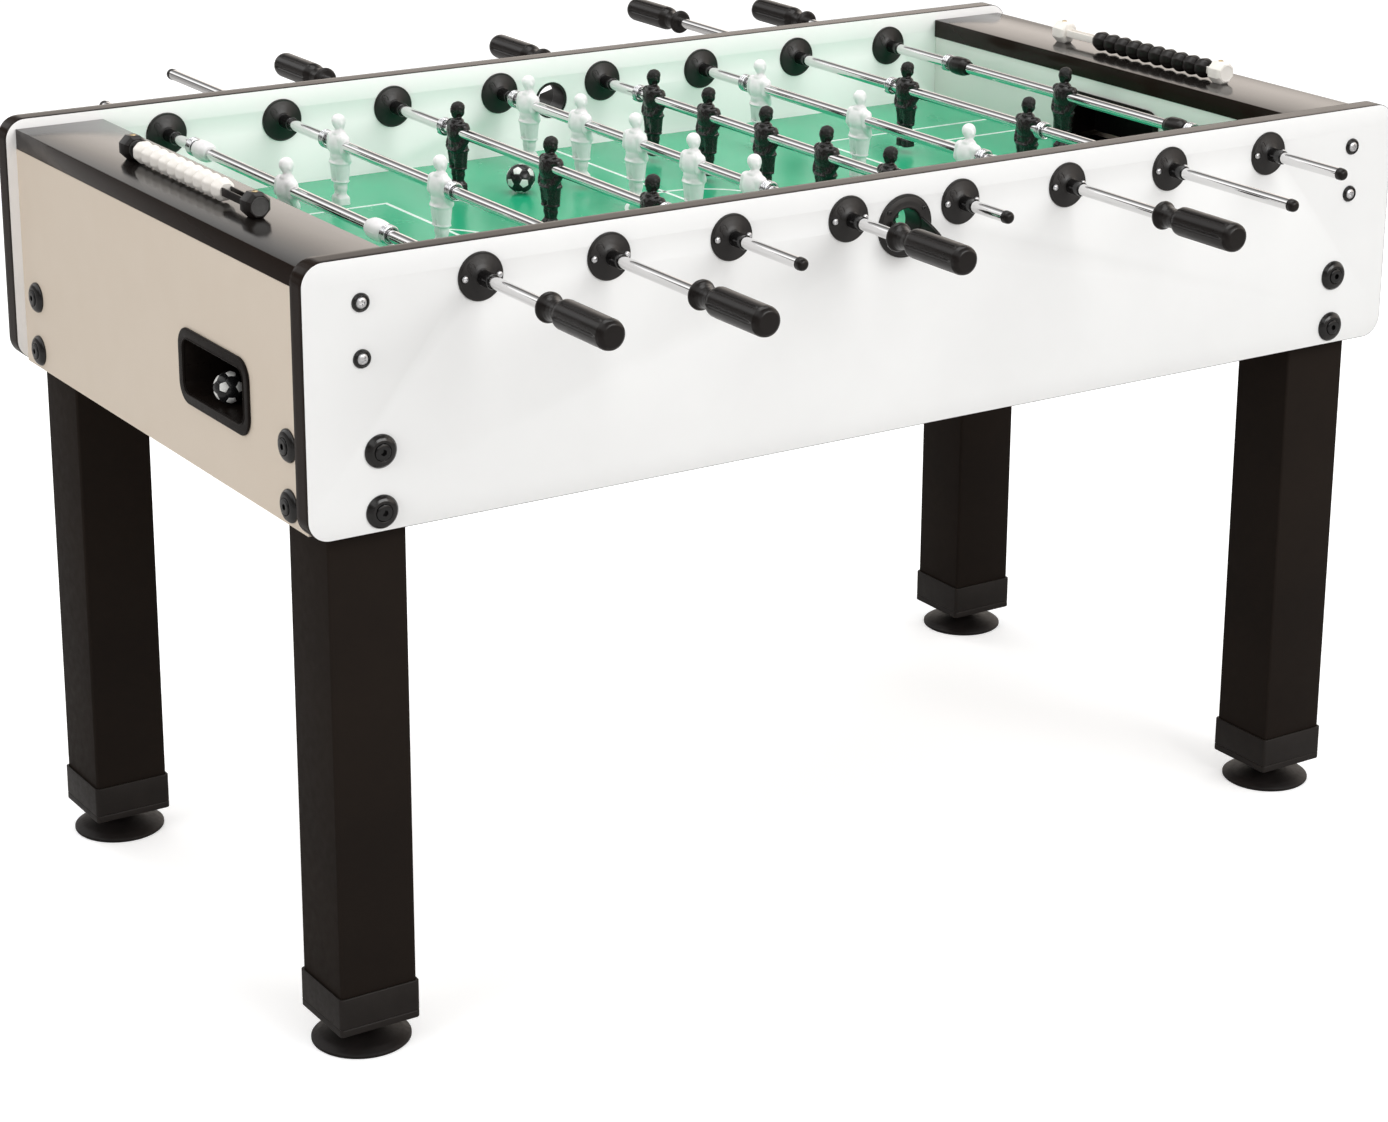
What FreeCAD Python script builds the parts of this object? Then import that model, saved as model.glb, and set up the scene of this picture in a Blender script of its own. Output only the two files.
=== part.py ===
import FreeCAD, Part

import os

import Sketcher

Vector = FreeCAD.Vector
Rotation = FreeCAD.Rotation
Placement = FreeCAD.Placement

# Football table. X runs along the playing field, Y across it with the white side's handles
# towards -Y, and Z up from the floor. All sizes are in millimetres.
SIZES = {
    # cabinet
    "cabinet_length": 1410.0,
    "cabinet_width": 760.0,
    "panel_top": 858.0,
    "panel_base": 578.0,
    "panel_thick": 24.0,
    "panel_corner": 24.0,
    "end_recess": 12.0,
    "end_thick": 20.0,
    "rail_width": 105.0,
    "rail_thick": 22.5,
    "rail_drop": 11.0,
    "goal_wall_recess": 2.0,
    "goal_wall_thick": 15.0,
    "goal_wall_base": 712.0,
    "field_top": 742.0,
    "field_thick": 8.0,
    "batten_size": 22.0,
    "floor_base": 582.0,
    "floor_thick": 6.0,
    # goals
    "goal_width": 200.0,
    "goal_height": 64.0,
    "goal_depth": 62.0,
    "goal_wall_skin": 3.0,
    "goal_rim": 8.0,
    "goal_stand_out": 3.0,
    "goal_corner": 22.0,
    # ball trays in the end panels
    "tray_width": 165.0,
    "tray_height": 82.0,
    "tray_middle_y": 152.5,
    "tray_middle_z": 684.5,
    "tray_rim": 12.0,
    "tray_rim_thick": 3.0,
    "tray_depth": 72.0,
    "tray_corner": 22.0,
    "tray_skin": 3.0,
    # ball entries
    "entry_height": 803.5,
    "entry_flange": 34.5,
    "entry_tube": 22.0,
    "entry_bore": 19.0,
    "scoop_bore": 19.6,
    "entry_thick": 4.0,
    "scoop_length": 36.0,
    # rods and bearings
    "rod_spacing": 146.2,
    "rod_height": 820.5,
    "rod_radius": 6.5,
    "rod_bore": 4.5,
    "running_gap": 0.06,
    "bearing_radius": 25.0,
    "bearing_edge": 2.2,
    "bearing_dome": 6.5,
    "bearing_boss": 12.0,
    "bush_radius": 7.9,
    "bush_outside": 27.0,
    "bush_inside": 28.0,
    "bearing_screw_out": 19.0,
    "bearing_screw_radius": 2.9,
    # reach of each kind of rod from the middle of its players
    "goalie_reach": 672.0,
    "goalie_tip": 495.0,
    "two_reach": 755.0,
    "two_tip": 582.0,
    "three_reach": 667.0,
    "three_tip": 497.0,
    "five_reach": 626.0,
    "five_tip": 461.0,
    "sleeve_gap": 210.0,
    "two_gap": 240.0,
    "three_gap": 212.0,
    "five_gap": 122.0,
    # where the eight rods stand, measured from the middle of the field
    "slide_1": 43.0,
    "slide_2": 88.0,
    "slide_3": -16.0,
    "slide_4": 40.0,
    "slide_5": -8.0,
    "slide_6": 9.0,
    "slide_7": -5.0,
    "slide_8": -12.0,
    # handles and end caps
    "handle_length": 120.0,
    "handle_collar": 15.0,
    "handle_neck": 10.6,
    "handle_grip": 15.6,
    "flute_radius": 2.6,
    "cap_length": 10.0,
    "cap_radius": 6.9,
    # players
    "head_top": 35.0,
    "head_width": 16.0,
    "foot_reach": 70.5,
    "body_width": 44.0,
    "body_depth": 25.0,
    "foot_depth": 15.0,
    "foot_width": 22.0,
    "foot_height": 11.0,
    "shoe_round": 3.0,
    "sleeve_length": 34.0,
    "sleeve_radius": 11.6,
    # buffer springs
    "spring_radius": 8.8,
    "spring_wire": 1.4,
    "spring_pitch": 3.9,
    "spring_height": 10.2,
    "spring_gap": 0.8,
    # legs and feet
    "leg_side": 87.0,
    "leg_wall": 3.0,
    "leg_corner": 3.0,
    "leg_base": 38.0,
    "leg_top": 706.0,
    "collar_wall": 2.5,
    "collar_base": 29.7,
    "collar_top": 72.4,
    "foot_radius": 52.5,
    "foot_edge": 4.0,
    "foot_rise": 12.0,
    "foot_boss": 14.0,
    "foot_boss_top": 25.0,
    "stem_radius": 8.0,
    "stem_top": 100.0,
    # fastenings
    "bolt_from_end": 80.0,
    "bolt_from_side": 62.2,
    "bolt_high": 661.0,
    "bolt_low": 599.0,
    "bolt_radius": 4.0,
    "bolt_hole": 4.25,
    "washer_radius": 17.3,
    "washer_thick": 6.0,
    "bolt_head": 8.6,
    "socket_size": 3.4,
    "screw_from_end": 62.5,
    "screw_high": 813.0,
    "screw_low": 757.0,
    "screw_radius": 2.5,
    "screw_head": 6.2,
    "cup_radius": 9.6,
    "cup_thick": 3.4,
    # score counters on the end rails
    "counter_half": 150.0,
    "counter_from_middle": 640.5,
    "post_flat": 13.4,
    "post_length": 22.0,
    "bar_width": 12.0,
    "bar_height": 9.0,
    "bar_wall": 2.0,
    "bead_flat": 11.8,
    "bead_length": 20.8,
    "bead_pitch": 21.6,
    "bead_clear": 0.4,
    "left_beads_from": 131.0,
    "right_beads_from": 84.0,
    # balls
    "ball_radius": 17.0,
    "ball_across": 178.0,
    "ball_lift": 0.3,
    "tray_ball_in": 31.0,
    "tray_ball_across": 146.0,
}

doc = FreeCAD.newDocument("football_table")
sheet = doc.addObject("Spreadsheet::Sheet", "dims")
for row, (alias, value) in enumerate(SIZES.items(), start=1):
    sheet.set("A%d" % row, alias)
    sheet.set("B%d" % row, str(value))
    sheet.setAlias("B%d" % row, alias)
doc.recompute()

TO_FRONT = Rotation(Vector(1, 0, 0), 90)
TO_BACK = Rotation(Vector(1, 0, 0), -90)
TO_LEFT = Rotation(Vector(0, 1, 0), -90)
TO_RIGHT = Rotation(Vector(0, 1, 0), 90)
HALF_TURN = Rotation(Vector(0, 0, 1), 180)
NO_TURN = Rotation()

# The row's origin is under the middle of the whole outline, so the cabinet, whose rods
# stand at different places, is moved across by half of what its longest two rods differ.
ROW_Y = "-(dims.slide_2 + dims.slide_7) / 2"
HALF_LENGTH = "dims.cabinet_length / 2"
HALF_WIDTH = "dims.cabinet_width / 2"
PANEL_MIDDLE = "((dims.cabinet_width - dims.panel_thick) / 2)"
INNER_SIDE = "(dims.cabinet_width / 2 - dims.panel_thick)"
END_MIDDLE = "(dims.cabinet_length / 2 - dims.end_recess - dims.end_thick / 2)"
END_OUTSIDE = "(dims.cabinet_length / 2 - dims.end_recess)"
END_INSIDE = "(dims.cabinet_length / 2 - dims.end_recess - dims.end_thick)"
RAIL_INSIDE = "(dims.cabinet_length / 2 - dims.end_recess - dims.rail_width)"
GOAL_FACE = "(dims.cabinet_length / 2 - dims.end_recess - dims.rail_width + dims.goal_wall_recess)"
RAIL_TOP = "(dims.panel_top - dims.rail_drop)"
RAIL_BASE = "(dims.panel_top - dims.rail_drop - dims.rail_thick)"
LEG_X = "(dims.cabinet_length / 2 - dims.end_recess - dims.end_thick - dims.leg_side / 2)"
LEG_Y = "(dims.cabinet_width / 2 - dims.panel_thick - dims.leg_side / 2)"

nodes = []


def bind(thing, **formulas):
    """Ties properties to the sheet. A double underscore in a name stands for a dot."""
    for key, formula in formulas.items():
        thing.setExpression(key.replace("__", "."), formula)
    return thing


def place(thing, x="0", y="0", z="0", turn=NO_TURN):
    thing.Placement = Placement(Vector(), turn)
    return bind(thing, Placement__Base__x=x, Placement__Base__y=y, Placement__Base__z=z)


def link(source, x="0", y="0", z="0", turn=NO_TURN):
    """Another one of a piece that is already drawn."""
    copy = doc.addObject("App::Link", source.Name + "_copy")
    copy.LinkedObject = source
    return place(copy, x, y, z, turn)


def compound(name, members):
    whole = doc.addObject("Part::Compound", name)
    whole.Links = members
    return whole


def node(label, *members):
    """One sub-part of the table, written to its own file."""
    whole = compound(label, list(members))
    whole.Label = label
    bind(whole, Placement__Base__y=ROW_Y)
    nodes.append(whole)


def cut(name, base, tool):
    result = doc.addObject("Part::Cut", name)
    result.Base = base
    result.Tool = tool
    return result


def fuse(name, members):
    result = doc.addObject("Part::MultiFuse", name)
    result.Shapes = members
    return result


def box(name, length, width, height, x="0", y="0", z="0"):
    """A block centred on x and y, standing on z."""
    block = doc.addObject("Part::Box", name)
    bind(block, Length=length, Width=width, Height=height)
    return place(block, "%s - (%s) / 2" % (x, length), "%s - (%s) / 2" % (y, width), z)


def cylinder(name, radius, height, x="0", y="0", z="0", turn=NO_TURN):
    round_bar = doc.addObject("Part::Cylinder", name)
    bind(round_bar, Radius=radius, Height=height)
    return place(round_bar, x, y, z, turn)


def prism(name, flat, height, x="0", y="0", z="0", turn=NO_TURN):
    """An eight-sided bar, flat being the distance from its middle to a side."""
    bar = doc.addObject("Part::Prism", name)
    bar.Polygon = 8
    bind(bar, Circumradius="(%s) / cos(22.5)" % flat, Height=height)
    return place(bar, x, y, z, turn.multiply(Rotation(Vector(0, 0, 1), 22.5)))


def rounded(name, base, radius, wanted):
    """Rounds the straight edges of base that the function wanted picks by their middle."""
    doc.recompute()
    result = doc.addObject("Part::Fillet", name)
    result.Base = base
    size = SIZES[radius]
    picked = [
        (number, size, size)
        for number, edge in enumerate(base.Shape.Edges, start=1)
        if edge.Curve.TypeId == "Part::GeomLine" and wanted(edge)
    ]
    result.Edges = picked
    return result


def runs_along(edge, axis):
    direction = edge.tangentAt(edge.FirstParameter)
    return abs(direction.dot(axis)) > 0.999


def new_body(name, role):
    body = doc.addObject("PartDesign::Body", name)
    plane = [face for face in body.Origin.OriginFeatures if face.Role == role][0]
    sketch = body.newObject("Sketcher::SketchObject", name + "_sketch")
    sketch.AttachmentSupport = [(plane, "")]
    sketch.MapMode = "FlatFace"
    return body, sketch


def hold(sketch, kind, geometry, point, formula):
    if kind == "Radius":
        constraint = Sketcher.Constraint(kind, geometry, 1.0)
    else:
        constraint = Sketcher.Constraint(kind, -1, 1, geometry, point, 1.0)
    number = sketch.addConstraint(constraint)
    sketch.setExpression("Constraints[%d]" % number, formula)


def draw_outline(sketch, corners):
    """A closed run of lines; every corner is held from the sketch's origin by the sheet."""
    first = sketch.GeometryCount
    count = len(corners)
    ring = [Rotation(Vector(0, 0, 1), 360.0 * i / count).multVec(Vector(50, 0, 0))
            for i in range(count)]
    for i in range(count):
        sketch.addGeometry(Part.LineSegment(ring[i], ring[(i + 1) % count]))
    for i in range(count):
        following = first + (i + 1) % count
        sketch.addConstraint(Sketcher.Constraint("Coincident", first + i, 2, following, 1))
    for i, (across, up) in enumerate(corners):
        hold(sketch, "DistanceX", first + i, 1, across)
        hold(sketch, "DistanceY", first + i, 1, up)


def draw_circle(sketch, across, up, radius):
    number = sketch.addGeometry(Part.Circle(Vector(1, 1, 0), Vector(0, 0, 1), 1))
    hold(sketch, "DistanceX", number, 3, across)
    hold(sketch, "DistanceY", number, 3, up)
    hold(sketch, "Radius", number, 0, radius)


def rectangle(across, up, base="0"):
    """The corners of a rectangle centred on the vertical axis and standing on base."""
    return [
        ("-(%s) / 2" % across, base),
        ("(%s) / 2" % across, base),
        ("(%s) / 2" % across, "%s + %s" % (base, up)),
        ("-(%s) / 2" % across, "%s + %s" % (base, up)),
    ]


def pad(body, sketch, thickness):
    feature = body.newObject("PartDesign::Pad", body.Name + "_pad")
    feature.Profile = sketch
    feature.SideType = "Symmetric"
    bind(feature, Length=thickness)
    return feature


def turned(name, corners):
    """A body turned about Z from a half profile of (radius, height) corners."""
    body, sketch = new_body(name, "XZ_Plane")
    draw_outline(sketch, corners)
    feature = body.newObject("PartDesign::Revolution", name + "_turn")
    feature.Profile = sketch
    feature.ReferenceAxis = (sketch, ["V_Axis"])
    feature.Angle = 360
    return body


def soften(body, radius, wanted):
    """Rounds the edges of a body that the function wanted picks."""
    doc.recompute()
    tip = body.Tip
    names = ["Edge%d" % n for n, edge in enumerate(tip.Shape.Edges, start=1) if wanted(edge)]
    feature = body.newObject("PartDesign::Fillet", body.Name + "_round")
    feature.Base = (tip, names)
    bind(feature, Radius=radius)
    return body


# --- side panels -----------------------------------------------------------------------
def rod_x(number):
    return "dims.rod_spacing * %.1f" % (number - 4.5)


def side_panel(name):
    body, sketch = new_body(name, "XZ_Plane")
    height = "dims.panel_top - dims.panel_base"
    draw_outline(sketch, rectangle("dims.cabinet_length", height, "dims.panel_base"))
    for number in range(1, 9):
        draw_circle(sketch, rod_x(number), "dims.rod_height", "dims.bearing_boss")
    draw_circle(sketch, "0", "dims.entry_height", "dims.entry_tube")
    for side in ("-", ""):
        bolt_x = side + "(dims.cabinet_length / 2 - dims.bolt_from_end)"
        screw_x = side + "(dims.cabinet_length / 2 - dims.screw_from_end)"
        for level in ("high", "low"):
            draw_circle(sketch, bolt_x, "dims.bolt_" + level, "dims.bolt_hole")
            draw_circle(sketch, screw_x, "dims.screw_" + level, "dims.screw_radius")
    pad(body, sketch, "dims.panel_thick")
    reach = SIZES["cabinet_length"] / 2 - 1
    soften(body, "dims.panel_corner",
           lambda edge: runs_along(edge, Vector(0, 1, 0)) and abs(edge.CenterOfMass.x) > reach)
    return body


panel = side_panel("side_panel")
node("front_panel", link(panel, y="-" + PANEL_MIDDLE))
node("back_panel", link(panel, y=PANEL_MIDDLE, turn=HALF_TURN))

# --- end panels, goal walls, rails, playing field ------------------------------------------
body, sketch = new_body("end_panel", "YZ_Plane")
draw_outline(sketch, rectangle("dims.cabinet_width - 2 * dims.panel_thick",
                               RAIL_BASE + " - dims.panel_base", "dims.panel_base"))
for side in ("-", ""):
    for level in ("high", "low"):
        draw_circle(sketch, side + "(dims.cabinet_width / 2 - dims.bolt_from_side)",
                    "dims.bolt_" + level, "dims.bolt_hole")
pad(body, sketch, "dims.end_thick")
tub_width = "dims.tray_width - 2 * dims.tray_rim + 2 * dims.tray_skin"
tub_height = "dims.tray_height - 2 * dims.tray_rim + 2 * dims.tray_skin"
tray_gap = box("tray_gap", "dims.end_thick * 2", tub_width, tub_height,
               y="-dims.tray_middle_y", z="dims.tray_middle_z - (%s) / 2" % tub_height)
end_panel = cut("end_panel_open", body, tray_gap)
node("end_panels", link(end_panel, x="-" + END_MIDDLE),
     link(end_panel, x=END_MIDDLE, turn=HALF_TURN))

body, sketch = new_body("goal_wall", "YZ_Plane")
draw_outline(sketch, rectangle("dims.cabinet_width - 2 * dims.panel_thick",
                               RAIL_BASE + " - dims.goal_wall_base", "dims.goal_wall_base"))
pad(body, sketch, "dims.goal_wall_thick")
throat_width = "dims.goal_width - 2 * dims.goal_rim + 2 * dims.goal_wall_skin"
throat_height = "dims.goal_height - dims.goal_rim + dims.goal_wall_skin"
goal_gap = box("goal_gap", "dims.goal_wall_thick * 2", throat_width, throat_height,
               z="dims.field_top")
goal_wall = cut("goal_wall_open", body, goal_gap)
wall_x = GOAL_FACE + " + dims.goal_wall_thick / 2"
node("goal_walls", link(goal_wall, x="-(%s)" % wall_x), link(goal_wall, x=wall_x))

rail = box("end_rail", "dims.rail_width", "dims.cabinet_width - 2 * dims.panel_thick",
           "dims.rail_thick")
rail_middle = "(dims.cabinet_length / 2 - dims.end_recess - dims.rail_width / 2)"
rail_y = "-" + INNER_SIDE
node("end_top_rails",
     link(rail, x="-%s - dims.rail_width / 2" % rail_middle, y=rail_y, z=RAIL_BASE),
     link(rail, x="%s - dims.rail_width / 2" % rail_middle, y=rail_y, z=RAIL_BASE))

node("playfield", box("field_board", "2 * " + GOAL_FACE,
                      "dims.cabinet_width - 2 * dims.panel_thick", "dims.field_thick",
                      z="dims.field_top - dims.field_thick"))
batten = box("batten", "2 * " + GOAL_FACE, "dims.batten_size", "dims.batten_size")
batten_y = "(dims.cabinet_width / 2 - dims.panel_thick - dims.batten_size / 2)"
batten_z = "dims.field_top - dims.field_thick - dims.batten_size"
batten_x = "-" + GOAL_FACE
node("field_battens",
     link(batten, x=batten_x, y="-%s - dims.batten_size / 2" % batten_y, z=batten_z),
     link(batten, x=batten_x, y="%s - dims.batten_size / 2" % batten_y, z=batten_z))

floor_board = box("floor_board", "2 * " + END_INSIDE,
                  "dims.cabinet_width - 2 * dims.panel_thick", "dims.floor_thick",
                  z="dims.floor_base")
leg_places = [(sx + LEG_X, sy + LEG_Y) for sx in ("-", "") for sy in ("-", "")]
notches = [box("floor_notch", "dims.leg_side", "dims.leg_side", "dims.floor_thick * 3", x, y,
               "dims.floor_base - dims.floor_thick") for x, y in leg_places]
node("cabinet_floor", cut("floor_notched", floor_board, compound("floor_notches", notches)))

# --- goals -----------------------------------------------------------------------------
# The goal's own frame looks along -X into the field, with x = 0 on the wall's face.
goal_inner = "dims.goal_width - 2 * dims.goal_rim"
rim = box("goal_rim", "dims.goal_stand_out", "dims.goal_width", "dims.goal_height",
          x="-dims.goal_stand_out / 2")
rim_round = rounded("goal_rim_round", rim, "goal_corner",
                    lambda edge: runs_along(edge, Vector(1, 0, 0)) and edge.CenterOfMass.z > 10)
throat = box("goal_throat", "dims.goal_depth", throat_width, throat_height,
             x="dims.goal_depth / 2")
mouth = box("goal_mouth", "dims.goal_depth - dims.goal_wall_skin + dims.goal_stand_out",
            goal_inner, "dims.goal_height - dims.goal_rim",
            x="(dims.goal_depth - dims.goal_wall_skin - dims.goal_stand_out) / 2")
mouth_round = rounded("goal_mouth_round", mouth, "goal_rim",
                      lambda edge: runs_along(edge, Vector(1, 0, 0)) and edge.CenterOfMass.z > 10)
goal = cut("goal", fuse("goal_solid", [rim_round, throat]), mouth_round)
node("goal_frames", link(goal, x=GOAL_FACE, z="dims.field_top"),
     link(goal, x="-" + GOAL_FACE, z="dims.field_top", turn=HALF_TURN))

# --- ball trays --------------------------------------------------------------------------
# The tray's own frame looks along -X out of the end panel, with x = 0 on the panel's face.
tray_rim = box("tray_rim", "dims.tray_rim_thick", "dims.tray_width", "dims.tray_height",
               x="-dims.tray_rim_thick / 2", z="-dims.tray_height / 2")
tray_rim_round = rounded("tray_rim_round", tray_rim, "tray_corner",
                         lambda edge: runs_along(edge, Vector(1, 0, 0)))
tub = box("tray_tub", "dims.tray_depth", tub_width, tub_height, x="dims.tray_depth / 2",
          z="-(%s) / 2" % tub_height)
tray_hollow = box("tray_hollow", "dims.tray_depth - dims.tray_skin + dims.tray_rim_thick",
                  "dims.tray_width - 2 * dims.tray_rim", "dims.tray_height - 2 * dims.tray_rim",
                  x="(dims.tray_depth - dims.tray_skin - dims.tray_rim_thick) / 2",
                  z="-dims.tray_height / 2 + dims.tray_rim")
tray_hollow_round = rounded("tray_hollow_round", tray_hollow, "tray_rim",
                            lambda edge: runs_along(edge, Vector(1, 0, 0)))
tray = cut("tray", fuse("tray_solid", [tray_rim_round, tub]), tray_hollow_round)
node("ball_trays",
     link(tray, x="-" + END_OUTSIDE, y="-dims.tray_middle_y", z="dims.tray_middle_z"),
     link(tray, x=END_OUTSIDE, y="dims.tray_middle_y", z="dims.tray_middle_z", turn=HALF_TURN))

# --- ball entries --------------------------------------------------------------------------
# Turned about Z with z = 0 on the panel's outer face; the scoop is the lower half of a tube.
entry_ring = turned("entry_ring", [
    ("dims.entry_bore", "-dims.panel_thick"),
    ("dims.entry_tube", "-dims.panel_thick"),
    ("dims.entry_tube", "0"),
    ("dims.entry_flange", "0"),
    ("dims.entry_flange", "dims.entry_thick / 2"),
    ("dims.entry_flange - 3", "dims.entry_thick"),
    ("dims.entry_bore", "dims.entry_thick"),
])
scoop_pipe = turned("scoop_pipe", [
    ("dims.scoop_bore", "0"),
    ("dims.entry_tube", "0"),
    ("dims.entry_tube", "dims.scoop_length"),
    ("dims.scoop_bore", "dims.scoop_length"),
])
body, sketch = new_body("scoop_trim", "YZ_Plane")
draw_outline(sketch, [
    ("dims.entry_tube * 2", "-1"),
    ("dims.entry_tube * 0.35", "-1"),
    ("dims.entry_tube * 0.35", "dims.entry_thick"),
    ("-dims.entry_tube * 0.25", "dims.scoop_length"),
    ("-dims.entry_tube * 0.27", "dims.scoop_length + 1"),
    ("dims.entry_tube * 2", "dims.scoop_length + 1"),
])
pad(body, sketch, "dims.entry_tube * 4")
entry = fuse("entry_cup", [entry_ring, cut("scoop", scoop_pipe, body)])
node("ball_entry_cups",
     link(entry, y="-" + HALF_WIDTH, z="dims.entry_height", turn=TO_FRONT),
     link(entry, y=HALF_WIDTH, z="dims.entry_height", turn=HALF_TURN.multiply(TO_FRONT)))

# --- rod bearings ----------------------------------------------------------------------------
# Turned about Z, which points out of the cabinet, with z = 0 on the panel's outer face.
BORE = "(dims.rod_radius + dims.running_gap)"
bearing_out = turned("bearing_outer", [
    (BORE, "-dims.panel_thick"),
    ("dims.bearing_boss", "-dims.panel_thick"),
    ("dims.bearing_boss", "0"),
    ("dims.bearing_radius", "0"),
    ("dims.bearing_radius", "dims.bearing_edge"),
    ("dims.bearing_radius * 0.82", "dims.bearing_dome * 0.62"),
    ("dims.bearing_radius * 0.6", "dims.bearing_dome * 0.88"),
    ("dims.bush_radius + 3", "dims.bearing_dome"),
    ("dims.bush_radius + 1", "dims.bearing_dome"),
    ("dims.bush_radius + 1", "dims.bearing_dome - 2"),
    ("dims.bush_radius", "dims.bearing_dome - 2"),
    ("dims.bush_radius", "dims.bush_outside"),
    (BORE, "dims.bush_outside"),
])
bearing_in = turned("bearing_inner", [
    (BORE, "0"),
    ("dims.bearing_radius", "0"),
    ("dims.bearing_radius", "dims.bearing_edge"),
    ("dims.bearing_radius * 0.82", "dims.bearing_dome * 0.62"),
    ("dims.bearing_radius * 0.6", "dims.bearing_dome * 0.88"),
    ("dims.bush_radius + 3", "dims.bearing_dome"),
    ("dims.bush_radius + 1", "dims.bearing_dome"),
    ("dims.bush_radius + 1", "dims.bearing_dome - 2"),
    ("dims.bush_radius", "dims.bearing_dome - 2"),
    ("dims.bush_radius", "dims.bush_inside"),
    (BORE, "dims.bush_inside"),
])
# The screw heads sit in flat seats cut into the outer domes.
seat_level = "(dims.bearing_dome * 0.5)"
screw_seat = cylinder("screw_seat", "dims.bearing_screw_radius + 0.4", "dims.bearing_dome")
bearing_drilled = cut("bearing_drilled", bearing_out, compound("screw_seats", [
    link(screw_seat, x="-dims.bearing_screw_out", z=seat_level),
    link(screw_seat, x="dims.bearing_screw_out", z=seat_level),
]))
bearings = []
for number in range(1, 9):
    where = {"x": rod_x(number), "z": "dims.rod_height"}
    bearings += [
        link(bearing_drilled, y="-" + HALF_WIDTH, turn=TO_FRONT, **where),
        link(bearing_in, y="-" + INNER_SIDE, turn=TO_BACK, **where),
        link(bearing_drilled, y=HALF_WIDTH, turn=TO_BACK, **where),
        link(bearing_in, y=INNER_SIDE, turn=TO_FRONT, **where),
    ]
node("rod_bearings", *bearings)

pan_head = turned("bearing_screw", [
    ("0", "0"),
    ("dims.bearing_screw_radius", "0"),
    ("dims.bearing_screw_radius", "1.2"),
    ("dims.bearing_screw_radius * 0.6", "2.1"),
    ("0", "2.3"),
])
bearing_screws = []
for number in range(1, 9):
    for side, turn in (("-", TO_FRONT), ("", TO_BACK)):
        for offset in ("-", "+"):
            bearing_screws.append(link(
                pan_head,
                x="%s %s dims.bearing_screw_out" % (rod_x(number), offset),
                y="%s(dims.cabinet_width / 2 + %s)" % (side, seat_level),
                z="dims.rod_height",
                turn=turn,
            ))
node("bearing_screws", *bearing_screws)

# --- players ---------------------------------------------------------------------------
# A player stands on Z with the rod's axis at z = 0 and his shoulders along Y.
def oval(name, level, depth, width):
    ring = doc.addObject("Part::Ellipse", name)
    bind(ring, MajorRadius="(%s) / 2" % width, MinorRadius="(%s) / 2" % depth)
    return place(ring, z=level, turn=Rotation(Vector(0, 0, 1), 90))


def loft(name, rings):
    skin = doc.addObject("Part::Loft", name)
    skin.Sections = rings
    skin.Solid = True
    return skin


SHAPE = [
    # level over the rod, depth and width as parts of the body's own
    ("15", 0.34, 0.30),
    ("12.5", 0.60, 0.66),
    ("7", 0.86, 0.90),
    ("-3", 1.00, 1.00),
    ("-13", 0.92, 0.90),
    ("-21", 0.72, 0.70),
    ("-31", 0.68, 0.64),
    ("-44", 0.56, 0.52),
    ("-62", 0.40, 0.40),
]
trunk = loft("player_trunk", [
    oval("player_ring", level, "dims.body_depth * %.2f" % deep, "dims.body_width * %.2f" % wide)
    for level, deep, wide in SHAPE
])
neck = cylinder("player_neck", "dims.head_width * 0.28", "10", z="13")
head = doc.addObject("Part::Ellipsoid", "player_head")
bind(head, Radius1="10", Radius2="dims.head_width / 2", Radius3="dims.head_width / 2")
place(head, z="dims.head_top - 10")
shoe = box("player_shoe", "dims.foot_depth", "dims.foot_width", "dims.foot_height",
           z="-dims.foot_reach")
shoe_round = rounded("player_shoe_round", shoe, "shoe_round",
                     lambda edge: runs_along(edge, Vector(0, 0, 1)))
rod_space = cylinder("rod_space", "dims.rod_radius", "dims.body_width * 2",
                     y="-dims.body_width", turn=TO_BACK)
player = cut("player", fuse("player_solid", [trunk, neck, head, shoe_round]), rod_space)

sleeve = turned("stop_sleeve", [
    ("dims.rod_radius", "-dims.sleeve_length / 2"),
    ("dims.sleeve_radius * 0.76", "-dims.sleeve_length / 2"),
    ("dims.sleeve_radius", "-dims.sleeve_length * 0.3"),
    ("dims.sleeve_radius", "dims.sleeve_length * 0.3"),
    ("dims.sleeve_radius * 0.76", "dims.sleeve_length / 2"),
    ("dims.rod_radius", "dims.sleeve_length / 2"),
])

# --- buffer springs ------------------------------------------------------------------------
coil = doc.addObject("Part::Helix", "spring_line")
bind(coil, Pitch="dims.spring_pitch", Height="dims.spring_height", Radius="dims.spring_radius")
wire = doc.addObject("Part::Circle", "spring_wire_section")
bind(wire, Radius="dims.spring_wire")
place(wire, x="dims.spring_radius", turn=Rotation(Vector(1, 0, 0), 90))
spring = doc.addObject("Part::Sweep", "spring")
spring.Sections = [wire]
spring.Spine = (coil, ["Edge1"])
spring.Solid = True
spring.Frenet = True

# --- handles and end caps --------------------------------------------------------------------
# The handle stands on z = 0 with its collar; the rod comes up into it from below.
handle_body = turned("handle_body", [
    ("dims.rod_radius", "0"),
    ("dims.handle_collar * 0.9", "0"),
    ("dims.handle_collar", "2"),
    ("dims.handle_collar", "5"),
    ("dims.handle_collar * 0.86", "8"),
    ("dims.handle_neck", "15"),
    ("dims.handle_neck", "24"),
    ("dims.handle_grip * 0.86", "31"),
    ("dims.handle_grip", "37"),
    ("dims.handle_grip", "dims.handle_length - 9"),
    ("dims.handle_grip * 0.88", "dims.handle_length - 3"),
    ("dims.handle_grip * 0.66", "dims.handle_length"),
    ("0", "dims.handle_length"),
    ("0", "dims.handle_length - 8"),
    ("dims.rod_radius", "dims.handle_length - 8"),
])
flute = cylinder("flute", "dims.flute_radius", "dims.handle_length - 50")
across = "(dims.handle_grip + dims.flute_radius * 0.5)"
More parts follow.
